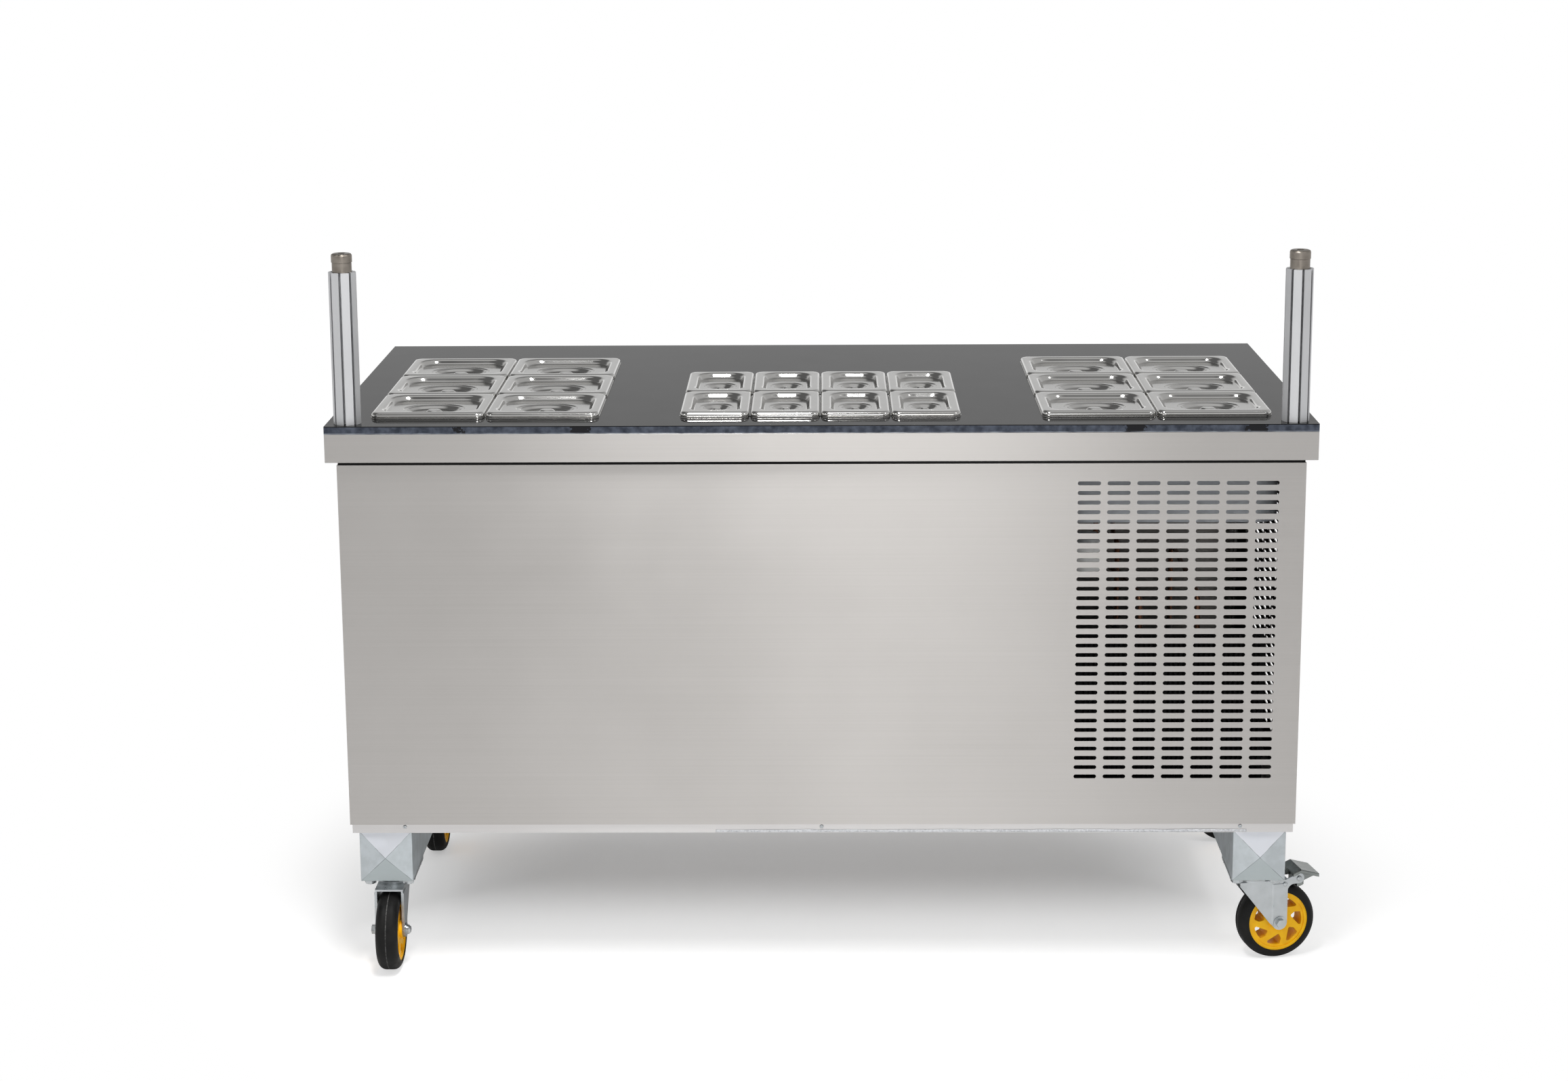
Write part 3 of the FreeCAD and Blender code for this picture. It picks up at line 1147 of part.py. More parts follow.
def refrigerant_pipes():
    """Discharge pipe to the coil, liquid pipe from the coil and suction pipe from the well."""
    coil_top = TRAY_FLOOR + COIL_HEIGHT
    coil_y = COIL_BACK - COIL_DEPTH / 4
    run = max(STUB_TOP, coil_top) + PIPE_RISE
    left = GRILLE_X - STUB_OFFSET
    right = GRILLE_X + STUB_OFFSET
    far_left = left - STUB_OFFSET
    discharge = bent_pipe([V(right, COMPRESSOR_Y, STUB_TOP), V(right, COMPRESSOR_Y, run),
                           V(right, coil_y, run), V(right, coil_y, coil_top)], PIPE_DIAMETER, PIPE_BEND)
    liquid = bent_pipe([V(left, coil_y, coil_top), V(left, coil_y, run),
                        V(far_left, 0, run), V(far_left, 0, WELL_BOTTOM)], PIPE_DIAMETER, PIPE_BEND)
    suction = bent_pipe([V(left, COMPRESSOR_Y, STUB_TOP), V(left, COMPRESSOR_Y, run),
                         V(left, 2 * COMPRESSOR_Y, run), V(left, 2 * COMPRESSOR_Y, WELL_BOTTOM)],
                        PIPE_DIAMETER, PIPE_BEND)
    return Part.makeCompound([discharge, liquid, suction])


def electrical_box():
    """Switch box on the partition, just behind the slots."""
    top = WELL_BOTTOM - BOX_DROP
    front = -BODY_Y + BOX_STANDOFF
    case = block(PARTITION_X, PARTITION_X + BOX_WIDTH, front, front + BOX_DEPTH, top - BOX_HEIGHT, top)
    corners = [edge for edge in case.Edges if abs(edge.tangentAt(edge.FirstParameter).x) > 0.5]
    return case.makeFillet(BOX_ROUND, corners)


def counter_parts():
    """Every node of the counter by name."""
    parts = {
        "worktop": worktop(),
        "apron_frame": apron_frame(),
        "front_panel": front_panel(),
        "left_panel": left_panel(),
        "right_panel": right_panel(),
        "rear_panel": rear_panel(),
        "base_tray": base_tray(),
        "chassis_beams": chassis_beams(),
        "beam_end_caps": beam_end_caps(),
        "canopy_posts": canopy_posts(),
        "post_spigots": post_spigots(),
        "cold_wells": cold_wells(),
        "pan_bars": pan_bars(),
        "partition": partition(),
        "condenser_coil": condenser_coil(),
        "fan_shroud": fan_shroud(),
        "fan_motor": fan_motor(),
        "fan_blades": fan_blades(),
        "compressor": compressor(),
        "compressor_grommets": compressor_grommets(),
        "refrigerant_pipes": refrigerant_pipes(),
        "electrical_box": electrical_box(),
    }
    for group in ("left", "middle", "right"):
        parts[f"{group}_pans"] = pans(group)
    parts.update(lids())
    parts.update(castor_nodes())
    return parts


def write_parts():
    os.makedirs("parts", exist_ok=True)
    parts = counter_parts()
    for name, shape in parts.items():
        shape.exportStep(f"parts/{name}.step")
        print(name, len(shape.Solids), "solids", round(shape.Volume / 1000, 1), "cm3", shape.isValid())
    print(len(parts), "nodes")


write_parts()
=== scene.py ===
# %% [markdown]
# # A frozen yogurt counter on castors
# The counter is already designed: its panels, pans, lids and castors come in as a fixed frame, at
# their real size, in metres. This lesson gives it its looks. Pieces whose shape is right keep it
# and get a finish. Pieces that need softer edges or pressed curves are made again here, in the
# same place.

# %% The designed counter
import json
import math
import bmesh
import bpy
from mathutils import Matrix, Vector


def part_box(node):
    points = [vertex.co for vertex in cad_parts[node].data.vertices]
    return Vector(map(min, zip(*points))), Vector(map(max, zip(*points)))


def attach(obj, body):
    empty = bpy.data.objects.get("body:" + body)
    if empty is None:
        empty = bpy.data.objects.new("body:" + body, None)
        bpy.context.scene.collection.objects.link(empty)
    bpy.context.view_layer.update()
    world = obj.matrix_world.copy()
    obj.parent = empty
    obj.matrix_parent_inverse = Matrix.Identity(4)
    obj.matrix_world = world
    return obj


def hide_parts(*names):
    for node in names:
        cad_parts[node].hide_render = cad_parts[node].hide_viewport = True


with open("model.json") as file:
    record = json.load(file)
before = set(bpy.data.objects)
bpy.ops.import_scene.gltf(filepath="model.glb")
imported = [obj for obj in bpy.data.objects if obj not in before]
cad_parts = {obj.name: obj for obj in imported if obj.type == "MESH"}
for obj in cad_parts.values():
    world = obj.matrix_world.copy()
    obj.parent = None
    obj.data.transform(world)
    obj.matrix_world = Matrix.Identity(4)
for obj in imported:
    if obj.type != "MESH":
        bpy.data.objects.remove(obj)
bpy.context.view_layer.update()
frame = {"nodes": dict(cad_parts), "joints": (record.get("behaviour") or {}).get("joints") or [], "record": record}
NODES = frame["nodes"]
scene = bpy.context.scene
scene.view_settings.view_transform = "Standard"

# %% [markdown]
# ## Camera
# The photographer stood in front of the middle of the counter, a little above it, with a long lens,
# and with the lens shifted down, so the uprights lean less. The camera's place and turn were fitted
# to the worktop, the panels and the wheels. A matrix built from its right, up and backward
# directions places it in one step.

# %% Camera
PHOTO_WIDTH = 2314
FOCAL_PIXELS = 4067.0
SENSOR_WIDTH = 36.0
EYE = Vector((0.0036, -4.4239, 1.7075))
PITCH = math.radians(11.219)
YAW = math.radians(-0.819)
TILT = math.radians(-0.339)
RISING_FRONT = -0.08

forward = Vector((math.sin(YAW) * math.cos(PITCH),
                  math.cos(YAW) * math.cos(PITCH),
                  -math.sin(PITCH)))
level = Vector((math.cos(YAW), -math.sin(YAW), 0))
upright = level.cross(forward)
right = math.cos(TILT) * level + math.sin(TILT) * upright
up = math.cos(TILT) * upright - math.sin(TILT) * level
camera = bpy.data.objects.new("camera", bpy.data.cameras.new("camera"))
scene.collection.objects.link(camera)
turn = Matrix((right, up, -forward)).transposed().to_4x4()
camera.matrix_world = Matrix.Translation(EYE) @ turn
camera.data.sensor_width = SENSOR_WIDTH
camera.data.lens = FOCAL_PIXELS * SENSOR_WIDTH / PHOTO_WIDTH
camera.data.shift_y = RISING_FRONT
scene.camera = camera
print("lens", round(camera.data.lens, 2), "mm")

# %% [markdown]
# ## Studio
# A white sweep, a long softbox over the front edge, smaller ones at the sides and a fill from the
# front. Polished lids show their surroundings, so the world has a white horizon, a dark band high
# up and a paler ceiling, and the lamps are rectangles that leave clean highlights in the pressed
# walls. The sweep is overexposed, as in a catalogue photograph: the floor shows brighter than it
# lights the metal, and turns plain white away from the counter; under the counter's front, a pool
# of front light is painted into the floor.

# %% Helpers for nodes
def add_node(tree, kind, **settings):
    node = tree.nodes.new(kind)
    for key, value in settings.items():
        setattr(node, key, value)
    return node


def feed(tree, source, target):
    """Link an output to an input, or write a plain value into the input."""
    if isinstance(source, bpy.types.NodeSocket):
        tree.links.new(source, target)
    else:
        target.default_value = source


def maths(tree, operation, first, second=0.0):
    node = add_node(tree, "ShaderNodeMath", operation=operation)
    feed(tree, first, node.inputs[0])
    feed(tree, second, node.inputs[1])
    return node.outputs[0]


def spread(tree, value, low, high, to_low, to_high):
    """Map a range onto another, held at the ends."""
    node = add_node(tree, "ShaderNodeMapRange", interpolation_type="SMOOTHSTEP")
    for name, setting in (("Value", value), ("From Min", low), ("From Max", high),
                          ("To Min", to_low), ("To Max", to_high)):
        feed(tree, setting, node.inputs[name])
    return node.outputs["Result"]


def blend_colours(tree, share, first, second):
    node = add_node(tree, "ShaderNodeMix", data_type="RGBA")
    feed(tree, share, node.inputs["Factor"])
    feed(tree, first, node.inputs["A"])
    feed(tree, second, node.inputs["B"])
    return node.outputs["Result"]


def towards(tree, share, first, second):
    """Number between two numbers."""
    step = maths(tree, "MULTIPLY", share, maths(tree, "SUBTRACT", second, first))
    return maths(tree, "ADD", first, step)


def position(tree):
    """Object coordinates, which here are the counter's own metres."""
    return add_node(tree, "ShaderNodeTexCoord").outputs["Object"]


def split(tree, vector):
    """X, Y and Z of a vector."""
    node = add_node(tree, "ShaderNodeSeparateXYZ")
    feed(tree, vector, node.inputs[0])
    return node.outputs


# %% World
HORIZON_LEVEL = 0.95
SHOULDER_LEVEL = 0.62
DARK_BAND_LEFT, DARK_BAND_RIGHT = 0.15, 0.55
CEILING_LEVEL = 0.62
# Heights are the Z of a direction, 0 at the horizon and 1 overhead.
HORIZON_TOP, SHOULDER_FOOT = 0.09, 0.165
SHOULDER_TOP, BAND_FOOT = 0.3, 0.56
BAND_TOP, CEILING_FOOT = 0.87, 0.97
BAND_LEFT_END, BAND_RIGHT_END = -0.15, 0.55

world = bpy.data.worlds.new("studio")
scene.world = world
world.use_nodes = True
tree = world.node_tree
background = tree.nodes["Background"]
sky = split(tree, add_node(tree, "ShaderNodeTexCoord").outputs["Generated"])
low_sky = spread(tree, sky["Z"], HORIZON_TOP, SHOULDER_FOOT, HORIZON_LEVEL, SHOULDER_LEVEL)
dark_band = spread(tree, sky["X"], BAND_LEFT_END, BAND_RIGHT_END, DARK_BAND_LEFT, DARK_BAND_RIGHT)
in_band = spread(tree, sky["Z"], SHOULDER_TOP, BAND_FOOT, 0.0, 1.0)
overhead = spread(tree, sky["Z"], BAND_TOP, CEILING_FOOT, 0.0, 1.0)
level_value = towards(tree, overhead, towards(tree, in_band, low_sky, dark_band), CEILING_LEVEL)
seen_directly = add_node(tree, "ShaderNodeLightPath").outputs["Is Camera Ray"]
shown = maths(tree, "MAXIMUM", level_value, seen_directly)
shown_colour = add_node(tree, "ShaderNodeCombineColor")
for channel in ("Red", "Green", "Blue"):
    feed(tree, shown, shown_colour.inputs[channel])
feed(tree, shown_colour.outputs[0], background.inputs["Color"])
print("world from", HORIZON_LEVEL, "at the horizon to", CEILING_LEVEL, "overhead")


# %% Floor and softboxes
FLOOR_HALF = 150.0
LIT_NEAR, LIT_FAR = 1.7, 4.0
SHOWN_NEAR, SHOWN_FAR = 0.45, 1.1
# Painted pool of front light: under the counter's front edge the floor shows whiter to the camera.
SPILL_FRONT, SPILL_BACK = -0.2, 0.12
SPILL_SHARE = 0.6
FLOOR_LIT = (0.8, 0.8, 0.8, 1)
FLOOR_MIRRORED = (0.95, 0.95, 0.95, 1)
FLOOR_SHOWN = (1.5, 1.495, 1.49, 1)
FAR_LIT = (0.86, 0.86, 0.86, 1)
FAR_SHOWN = (1, 1, 1, 1)

mesh = bpy.data.meshes.new("floor")
corners = [(-FLOOR_HALF, -FLOOR_HALF, 0), (FLOOR_HALF, -FLOOR_HALF, 0),
           (FLOOR_HALF, FLOOR_HALF, 0), (-FLOOR_HALF, FLOOR_HALF, 0)]
mesh.from_pydata(corners, [], [(0, 1, 2, 3)])
floor = bpy.data.objects.new("floor", mesh)
scene.collection.objects.link(floor)
sweep = bpy.data.materials.new("white_sweep")
sweep.use_nodes = True
tree = sweep.node_tree
tree.nodes.remove(tree.nodes["Principled BSDF"])
lit = add_node(tree, "ShaderNodeBsdfDiffuse")
paths = add_node(tree, "ShaderNodeLightPath")
camera_ray = paths.outputs["Is Camera Ray"]
in_metal = blend_colours(tree, paths.outputs["Is Glossy Ray"], FLOOR_LIT, FLOOR_MIRRORED)
feed(tree, blend_colours(tree, camera_ray, in_metal, FLOOR_SHOWN), lit.inputs["Color"])
plain = add_node(tree, "ShaderNodeEmission")
feed(tree, blend_colours(tree, camera_ray, FAR_LIT, FAR_SHOWN), plain.inputs["Color"])
place = position(tree)
distance = add_node(tree, "ShaderNodeVectorMath", operation="LENGTH")
feed(tree, place, distance.inputs[0])
far_lit = spread(tree, distance.outputs["Value"], LIT_NEAR, LIT_FAR, 0.0, 1.0)
far_shown = spread(tree, distance.outputs["Value"], SHOWN_NEAR, SHOWN_FAR, 0.0, 1.0)
spill = spread(tree, split(tree, place)["Y"], SPILL_FRONT, SPILL_BACK, SPILL_SHARE, 0.0)
shown_white = maths(tree, "MAXIMUM", far_shown, spill)
mixed = add_node(tree, "ShaderNodeMixShader")
feed(tree, towards(tree, camera_ray, far_lit, shown_white), mixed.inputs[0])
feed(tree, lit.outputs[0], mixed.inputs[1])
feed(tree, plain.outputs[0], mixed.inputs[2])
feed(tree, mixed.outputs[0], tree.nodes["Material Output"].inputs["Surface"])
mesh.materials.append(sweep)


def softbox(name, place, aim, width, depth, watts):
    lamp = bpy.data.lights.new(name, "AREA")
    lamp.shape = "RECTANGLE"
    lamp.size = width
    lamp.size_y = depth
    lamp.energy = watts
    holder = bpy.data.objects.new(name, lamp)
    holder.location = place
    holder.visible_camera = False
    holder.rotation_euler = (Vector(aim) - Vector(place)).to_track_quat("-Z", "Y").to_euler()
    scene.collection.objects.link(holder)


softbox("front_softbox", (-0.22, -1.5, 3.0), (-0.1, -0.1, 0.6), 0.4, 1.1, 62)
softbox("right_softbox", (2.3, -1.5, 3.6), (0.3, 0, 0.6), 0.6, 0.6, 13)
softbox("left_softbox", (-2.3, -1.7, 2.5), (-0.3, 0, 0.6), 0.5, 0.5, 5)
softbox("front_fill", (0.3, -5.2, 0.9), (0, 0, 0.5), 1.1, 1.4, 13)
print("floor and four softboxes")

# %% [markdown]
# ## Finishes
# Almost everything here is metal, so two effects are shared. `grain` is noise pulled out along one
# direction, which reads as brushing, rolling or extrusion lines. `mottle` is soft cloudy noise,
# which keeps a large sheet from looking flat. Both are node groups: built once, used with other
# values in each finish. They read Object coordinates, so a finish moves with its piece.

# %% Shared effects
def start_group(name, inputs, output):
    group = bpy.data.node_groups.new(name, "ShaderNodeTree")
    for label, kind in inputs:
        group.interface.new_socket(name=label, in_out="INPUT", socket_type=kind)
    group.interface.new_socket(name=output, in_out="OUTPUT", socket_type="NodeSocketFloat")
    return group, group.nodes.new("NodeGroupInput"), group.nodes.new("NodeGroupOutput")


grain_group, given, result = start_group(
    "grain", (("Position", "NodeSocketVector"), ("Stretch", "NodeSocketVector")), "Grain")
pulled = add_node(grain_group, "ShaderNodeVectorMath", operation="MULTIPLY")
feed(grain_group, given.outputs["Position"], pulled.inputs[0])
feed(grain_group, given.outputs["Stretch"], pulled.inputs[1])
lines = add_node(grain_group, "ShaderNodeTexNoise")
lines.inputs["Scale"].default_value = 1.0
lines.inputs["Detail"].default_value = 5.0
lines.inputs["Roughness"].default_value = 0.62
feed(grain_group, pulled.outputs[0], lines.inputs["Vector"])
feed(grain_group, lines.outputs["Fac"], result.inputs["Grain"])

mottle_group, given, result = start_group(
    "mottle", (("Position", "NodeSocketVector"), ("Per Metre", "NodeSocketFloat"),
               ("Softness", "NodeSocketFloat")), "Mottle")
clouds = add_node(mottle_group, "ShaderNodeTexNoise")
clouds.inputs["Detail"].default_value = 3.0
feed(mottle_group, given.outputs["Position"], clouds.inputs["Vector"])
feed(mottle_group, given.outputs["Per Metre"], clouds.inputs["Scale"])
low = maths(mottle_group, "SUBTRACT", 0.5, given.outputs["Softness"])
high = maths(mottle_group, "ADD", 0.5, given.outputs["Softness"])
soft = spread(mottle_group, clouds.outputs["Fac"], low, high, 0.0, 1.0)
feed(mottle_group, soft, result.inputs["Mottle"])
print("shared effects:", grain_group.name, mottle_group.name)


# %% How a finish starts
FINISHES = {}


def start_finish(name, metallic=0.0):
    """A new material, kept under its name: its tree and its shader."""
    FINISHES[name] = bpy.data.materials.new(name)
    FINISHES[name].use_nodes = True
    tree = FINISHES[name].node_tree
    shader = tree.nodes["Principled BSDF"]
    shader.inputs["Metallic"].default_value = metallic
    return tree, shader


def grain(tree, stretch):
    node = add_node(tree, "ShaderNodeGroup", node_tree=grain_group)
    feed(tree, position(tree), node.inputs["Position"])
    feed(tree, stretch, node.inputs["Stretch"])
    return node.outputs["Grain"]


def mottle(tree, per_metre, softness=0.25):
    node = add_node(tree, "ShaderNodeGroup", node_tree=mottle_group)
    feed(tree, position(tree), node.inputs["Position"])
    feed(tree, per_metre, node.inputs["Per Metre"])
    feed(tree, softness, node.inputs["Softness"])
    return node.outputs["Mottle"]


def relief(tree, shader, height, depth):
    """Fine bumps from a 0 to 1 height, depth in metres."""
    bump = add_node(tree, "ShaderNodeBump")
    bump.inputs["Strength"].default_value = 1.0
    bump.inputs["Distance"].default_value = depth
    feed(tree, height, bump.inputs["Height"])
    feed(tree, bump.outputs["Normal"], shader.inputs["Normal"])


def paint(tree, shader, colour, marks):
    """Base colour, with the colour of each mark laid over it through the mark's mask."""
    if marks:
        for mask, mark_colour in marks(tree):
            colour = blend_colours(tree, mask, colour, (*mark_colour, 1))
    feed(tree, colour, shader.inputs["Base Color"])


# %% Metal finishes
GRAIN_SHARE = 0.55


def metal(name, dark, light, stretch, per_metre, roughness, depth,
          softness=0.25, brushed=0.0, marks=None):
    """Sheet, plate or bar: lines along the working direction, cloudy patches, and marks, if any."""
    tree, shader = start_finish(name, metallic=1.0)
    lined = grain(tree, stretch)
    share = towards(tree, GRAIN_SHARE, mottle(tree, per_metre, softness), lined)
    paint(tree, shader, blend_colours(tree, share, (*dark, 1), (*light, 1)), marks)
    feed(tree, spread(tree, share, 0.2, 0.8, *roughness), shader.inputs["Roughness"])
    relief(tree, shader, lined, depth)
    if brushed:
        shader.inputs["Anisotropic"].default_value = brushed
        shader.inputs["Anisotropic Rotation"].default_value = 0.25
        around = add_node(tree, "ShaderNodeTangent", direction_type="RADIAL", axis="Z")
        feed(tree, around.outputs[0], shader.inputs["Tangent"])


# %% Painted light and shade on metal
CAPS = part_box("beam_end_caps")
BEAM_AXIS_X = CAPS[1].x - (CAPS[1].z - CAPS[0].z) / 2
BEAM_AXIS_Z = (CAPS[0].z + CAPS[1].z) / 2
# The caps' light is painted: a highlight on each upper facet, shade on each lower facet, and thin lines of shade
# along the folds.
HIGHLIGHT_SHARE, PAINTED_HIGHLIGHT_ZINC = 0.7, (0.76, 0.77, 0.82)
SHADE_SHARE, PAINTED_SHADE_ZINC = 0.55, (0.37, 0.42, 0.42)
FOLD_CORE, FOLD_EDGE = 0.0002, 0.0009
PAINTED_FOLD_SHADE = (0.14, 0.15, 0.16)
# Painted shade in the gap under the apron: its hidden leg is black up to just above the panels' top edge.
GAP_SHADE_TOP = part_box("front_panel")[1].z + 0.006
PAINTED_SHADE_BLACK = (0.012, 0.012, 0.012)


def cap_painted_light(tree):
    """Painted highlight on the upper facet, painted shade on the lower one, and thin lines of painted shade along
    the folds of each cap.
    """
    x, _, z = split(tree, position(tree))
    from_axis = maths(tree, "SUBTRACT", maths(tree, "ABSOLUTE", x), BEAM_AXIS_X)
    across = maths(tree, "ABSOLUTE", from_axis)
    rise = maths(tree, "SUBTRACT", z, BEAM_AXIS_Z)
    upper = maths(tree, "GREATER_THAN", rise, across)
    lower = maths(tree, "GREATER_THAN", maths(tree, "MULTIPLY", rise, -1.0), across)
    beside_fold = maths(tree, "SUBTRACT", across, maths(tree, "ABSOLUTE", rise))
    on_fold = spread(tree, maths(tree, "ABSOLUTE", beside_fold), FOLD_CORE, FOLD_EDGE, 1.0, 0.0)
    # Cloudy noise breaks up the painted shade along the folds.
    patchy = spread(tree, mottle(tree, 60.0), 0.2, 0.8, 0.2, 0.7)
    return ((maths(tree, "MULTIPLY", upper, HIGHLIGHT_SHARE), PAINTED_HIGHLIGHT_ZINC),
            (maths(tree, "MULTIPLY", lower, SHADE_SHARE), PAINTED_SHADE_ZINC),
            (maths(tree, "MULTIPLY", on_fold, patchy), PAINTED_FOLD_SHADE))


def painted_gap_shade(tree):
    """Painted shade: the apron is black below just above the panels' top edge, so the gap between the apron and
    the panels reads dark.
    """
    height = split(tree, position(tree))["Z"]
    return ((maths(tree, "LESS_THAN", height, GAP_SHADE_TOP), PAINTED_SHADE_BLACK),)


# %% Metals of the counter
FLAT_LINES = (1.5, 1.5, 420.0)
UPRIGHT_LINES = (520.0, 520.0, 1.2)
SPANGLE = (30.0, 30.0, 30.0)
PLATING = (60.0, 60.0, 60.0)
SHEET_DARK, SHEET_LIGHT = (0.425, 0.408, 0.392), (0.515, 0.498, 0.482)

metal("brushed_stainless", SHEET_DARK, SHEET_LIGHT, FLAT_LINES, 2.2, (0.3, 0.38), 0.00003,
      brushed=0.8)
# The apron's sheet, with painted black shade on its hidden leg.
metal("sealed_stainless", SHEET_DARK, SHEET_LIGHT, FLAT_LINES, 2.2, (0.3, 0.38), 0.00003,
      brushed=0.8, marks=painted_gap_shade)
metal("tray_stainless", (0.55, 0.535, 0.53), (0.66, 0.65, 0.645), FLAT_LINES, 5.0, (0.3, 0.42),
      0.00003, brushed=0.6)
metal("polished_stainless", (0.56, 0.55, 0.53), (0.66, 0.65, 0.635), (40.0, 40.0, 90.0), 12.0,
      (0.14, 0.22), 0.00002)
metal("lid_stainless", (0.56, 0.552, 0.535), (0.63, 0.625, 0.612), (6.0, 240.0, 6.0), 14.0,
      (0.09, 0.13), 0.000003)
metal("galvanised_steel", (0.4, 0.435, 0.45), (0.6, 0.64, 0.665), SPANGLE, 55.0, (0.48, 0.62),
      0.00004, 0.15)
# Caps: the lighter and darker facets and the dark fold lines are painted highlight and shade.
metal("folded_caps", (0.42, 0.455, 0.47), (0.6, 0.64, 0.665), SPANGLE, 55.0, (0.42, 0.56),
      0.00004, 0.15, marks=cap_painted_light)
metal("pedal_steel", (0.17, 0.185, 0.178), (0.3, 0.32, 0.31), PLATING, 40.0, (0.18, 0.3),
      0.00003, 0.2)
metal("zinc_plated_steel", (0.4, 0.425, 0.435), (0.57, 0.595, 0.61), PLATING, 40.0, (0.26, 0.42),
      0.00003, 0.2)
metal("post_aluminium", (0.55, 0.555, 0.565), (0.64, 0.645, 0.655), UPRIGHT_LINES, 8.0,
      (0.52, 0.62), 0.00003)
metal("spigot_steel", (0.15, 0.13, 0.11), (0.33, 0.3, 0.265), (8.0, 8.0, 900.0), 60.0,
      (0.3, 0.5), 0.00005)
metal("copper_pipe", (0.16, 0.07, 0.04), (0.3, 0.14, 0.08), (90.0, 90.0, 90.0), 40.0,
      (0.25, 0.45), 0.00003)
print(len(FINISHES), "metals")


# %% Moulded and painted finishes
def moulded(name, colour, faded, per_metre, roughness, depth,
            gloss=0.5, speckle=700.0, marks=None):
    """Plastic, rubber or paint: a colour that fades in patches, a fine skin, and marks, if any."""
    tree, shader = start_finish(name)
    shader.inputs["Specular IOR Level"].default_value = gloss
    patches = mottle(tree, per_metre, 0.2)
    paint(tree, shader, blend_colours(tree, patches, (*colour, 1), (*faded, 1)), marks)
    feed(tree, spread(tree, patches, 0.0, 1.0, *roughness), shader.inputs["Roughness"])
    relief(tree, shader, grain(tree, (speckle, speckle, speckle)), depth)


ROLL_JOINTS = [joint for joint in frame["joints"] if joint["name"].startswith("roll_")]
SEAM_CORE, SEAM_EDGE = 0.00056, 0.0008
SEAM_GREY = (0.11, 0.108, 0.105)


def mould_seam(tree):
    """A worn line round the middle of each tread, where the two halves of the mould met."""
    seam = 0.0
    for joint in ROLL_JOINTS:
        axle = Vector(joint["axis"])
        across = add_node(tree, "ShaderNodeVectorMath", operation="DOT_PRODUCT")
        feed(tree, position(tree), across.inputs[0])
        across.inputs[1].default_value = axle
        off = maths(tree, "SUBTRACT", across.outputs["Value"], axle.dot(Vector(joint["pos_m"])))
        near = spread(tree, maths(tree, "ABSOLUTE", off), SEAM_CORE, SEAM_EDGE, 1.0, 0.0)
        seam = maths(tree, "MAXIMUM", near, seam)
    patchy = spread(tree, mottle(tree, 420.0), 0.1, 0.9, 0.25, 1.0)
    return ((maths(tree, "MULTIPLY", seam, patchy), SEAM_GREY),)


moulded("well_casing", (0.62, 0.65, 0.7), (0.7, 0.73, 0.77), 9.0, (0.45, 0.6), 0.0001)
# Black-painted fins, made darker than black paint: partly their own black, partly painted shade inside the housing
# behind the grille slots.
moulded("coil_fins", (0.006, 0.006, 0.007), (0.014, 0.014, 0.015), 40.0, (0.5, 0.65), 0.0001, 0.1)
moulded("black_rubber", (0.018, 0.018, 0.018), (0.05, 0.05, 0.048), 60.0, (0.55, 0.75), 0.0002)
moulded("black_tyre", (0.003, 0.003, 0.003), (0.011, 0.0105, 0.01), 45.0, (0.5, 0.68), 0.00015, 0.2,
        marks=mould_seam)
moulded("black_paint", (0.02, 0.02, 0.022), (0.035, 0.035, 0.037), 30.0, (0.3, 0.45), 0.0001)
moulded("fan_plastic", (0.05, 0.05, 0.055), (0.09, 0.09, 0.095), 30.0, (0.4, 0.55), 0.0001)
moulded("white_plastic", (0.9, 0.9, 0.89), (0.84, 0.84, 0.82), 20.0, (0.4, 0.55), 0.00008)
moulded("yellow_core", (0.96, 0.53, 0.0), (0.88, 0.45, 0.0), 70.0, (0.38, 0.5), 0.0001, 0.3)
moulded("white_foil", (0.66, 0.67, 0.69), (0.45, 0.46, 0.48), 330.0, (0.25, 0.45), 0.0004,
        speckle=330.0)
print(len(FINISHES), "finishes so far")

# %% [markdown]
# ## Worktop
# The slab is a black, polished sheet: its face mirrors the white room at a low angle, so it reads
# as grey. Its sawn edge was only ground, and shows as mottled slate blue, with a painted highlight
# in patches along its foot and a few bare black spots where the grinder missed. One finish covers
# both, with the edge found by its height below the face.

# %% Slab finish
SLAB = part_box("worktop")
EDGE_TOP = SLAB[1].z - 0.0012
EDGE_FOOT = SLAB[0].z + 0.0013
EDGE_ROUGHNESS = 0.45
FACE_ROUGHNESS = (0.045, 0.075)
FACE_IOR = 1.16
FACE_BLACK, FACE_DUST = (0.006, 0.006, 0.006, 1), (0.012, 0.012, 0.012, 1)
SLATE_DARK, SLATE_LIGHT = (0.022, 0.026, 0.036, 1), (0.074, 0.085, 0.11, 1)
# Pale grey of the painted highlight along the foot of the edge.
PAINTED_FOOT_HIGHLIGHT = (0.3, 0.32, 0.35, 1)
BARE_BLACK = (0.013, 0.013, 0.015, 1)
# Middle and half width of each spot, along X.
BARE_SPOTS = ((-0.547, 0.006), (-0.363, 0.0125), (0.473, 0.0145), (0.657, 0.0145))
FRAY = 0.013

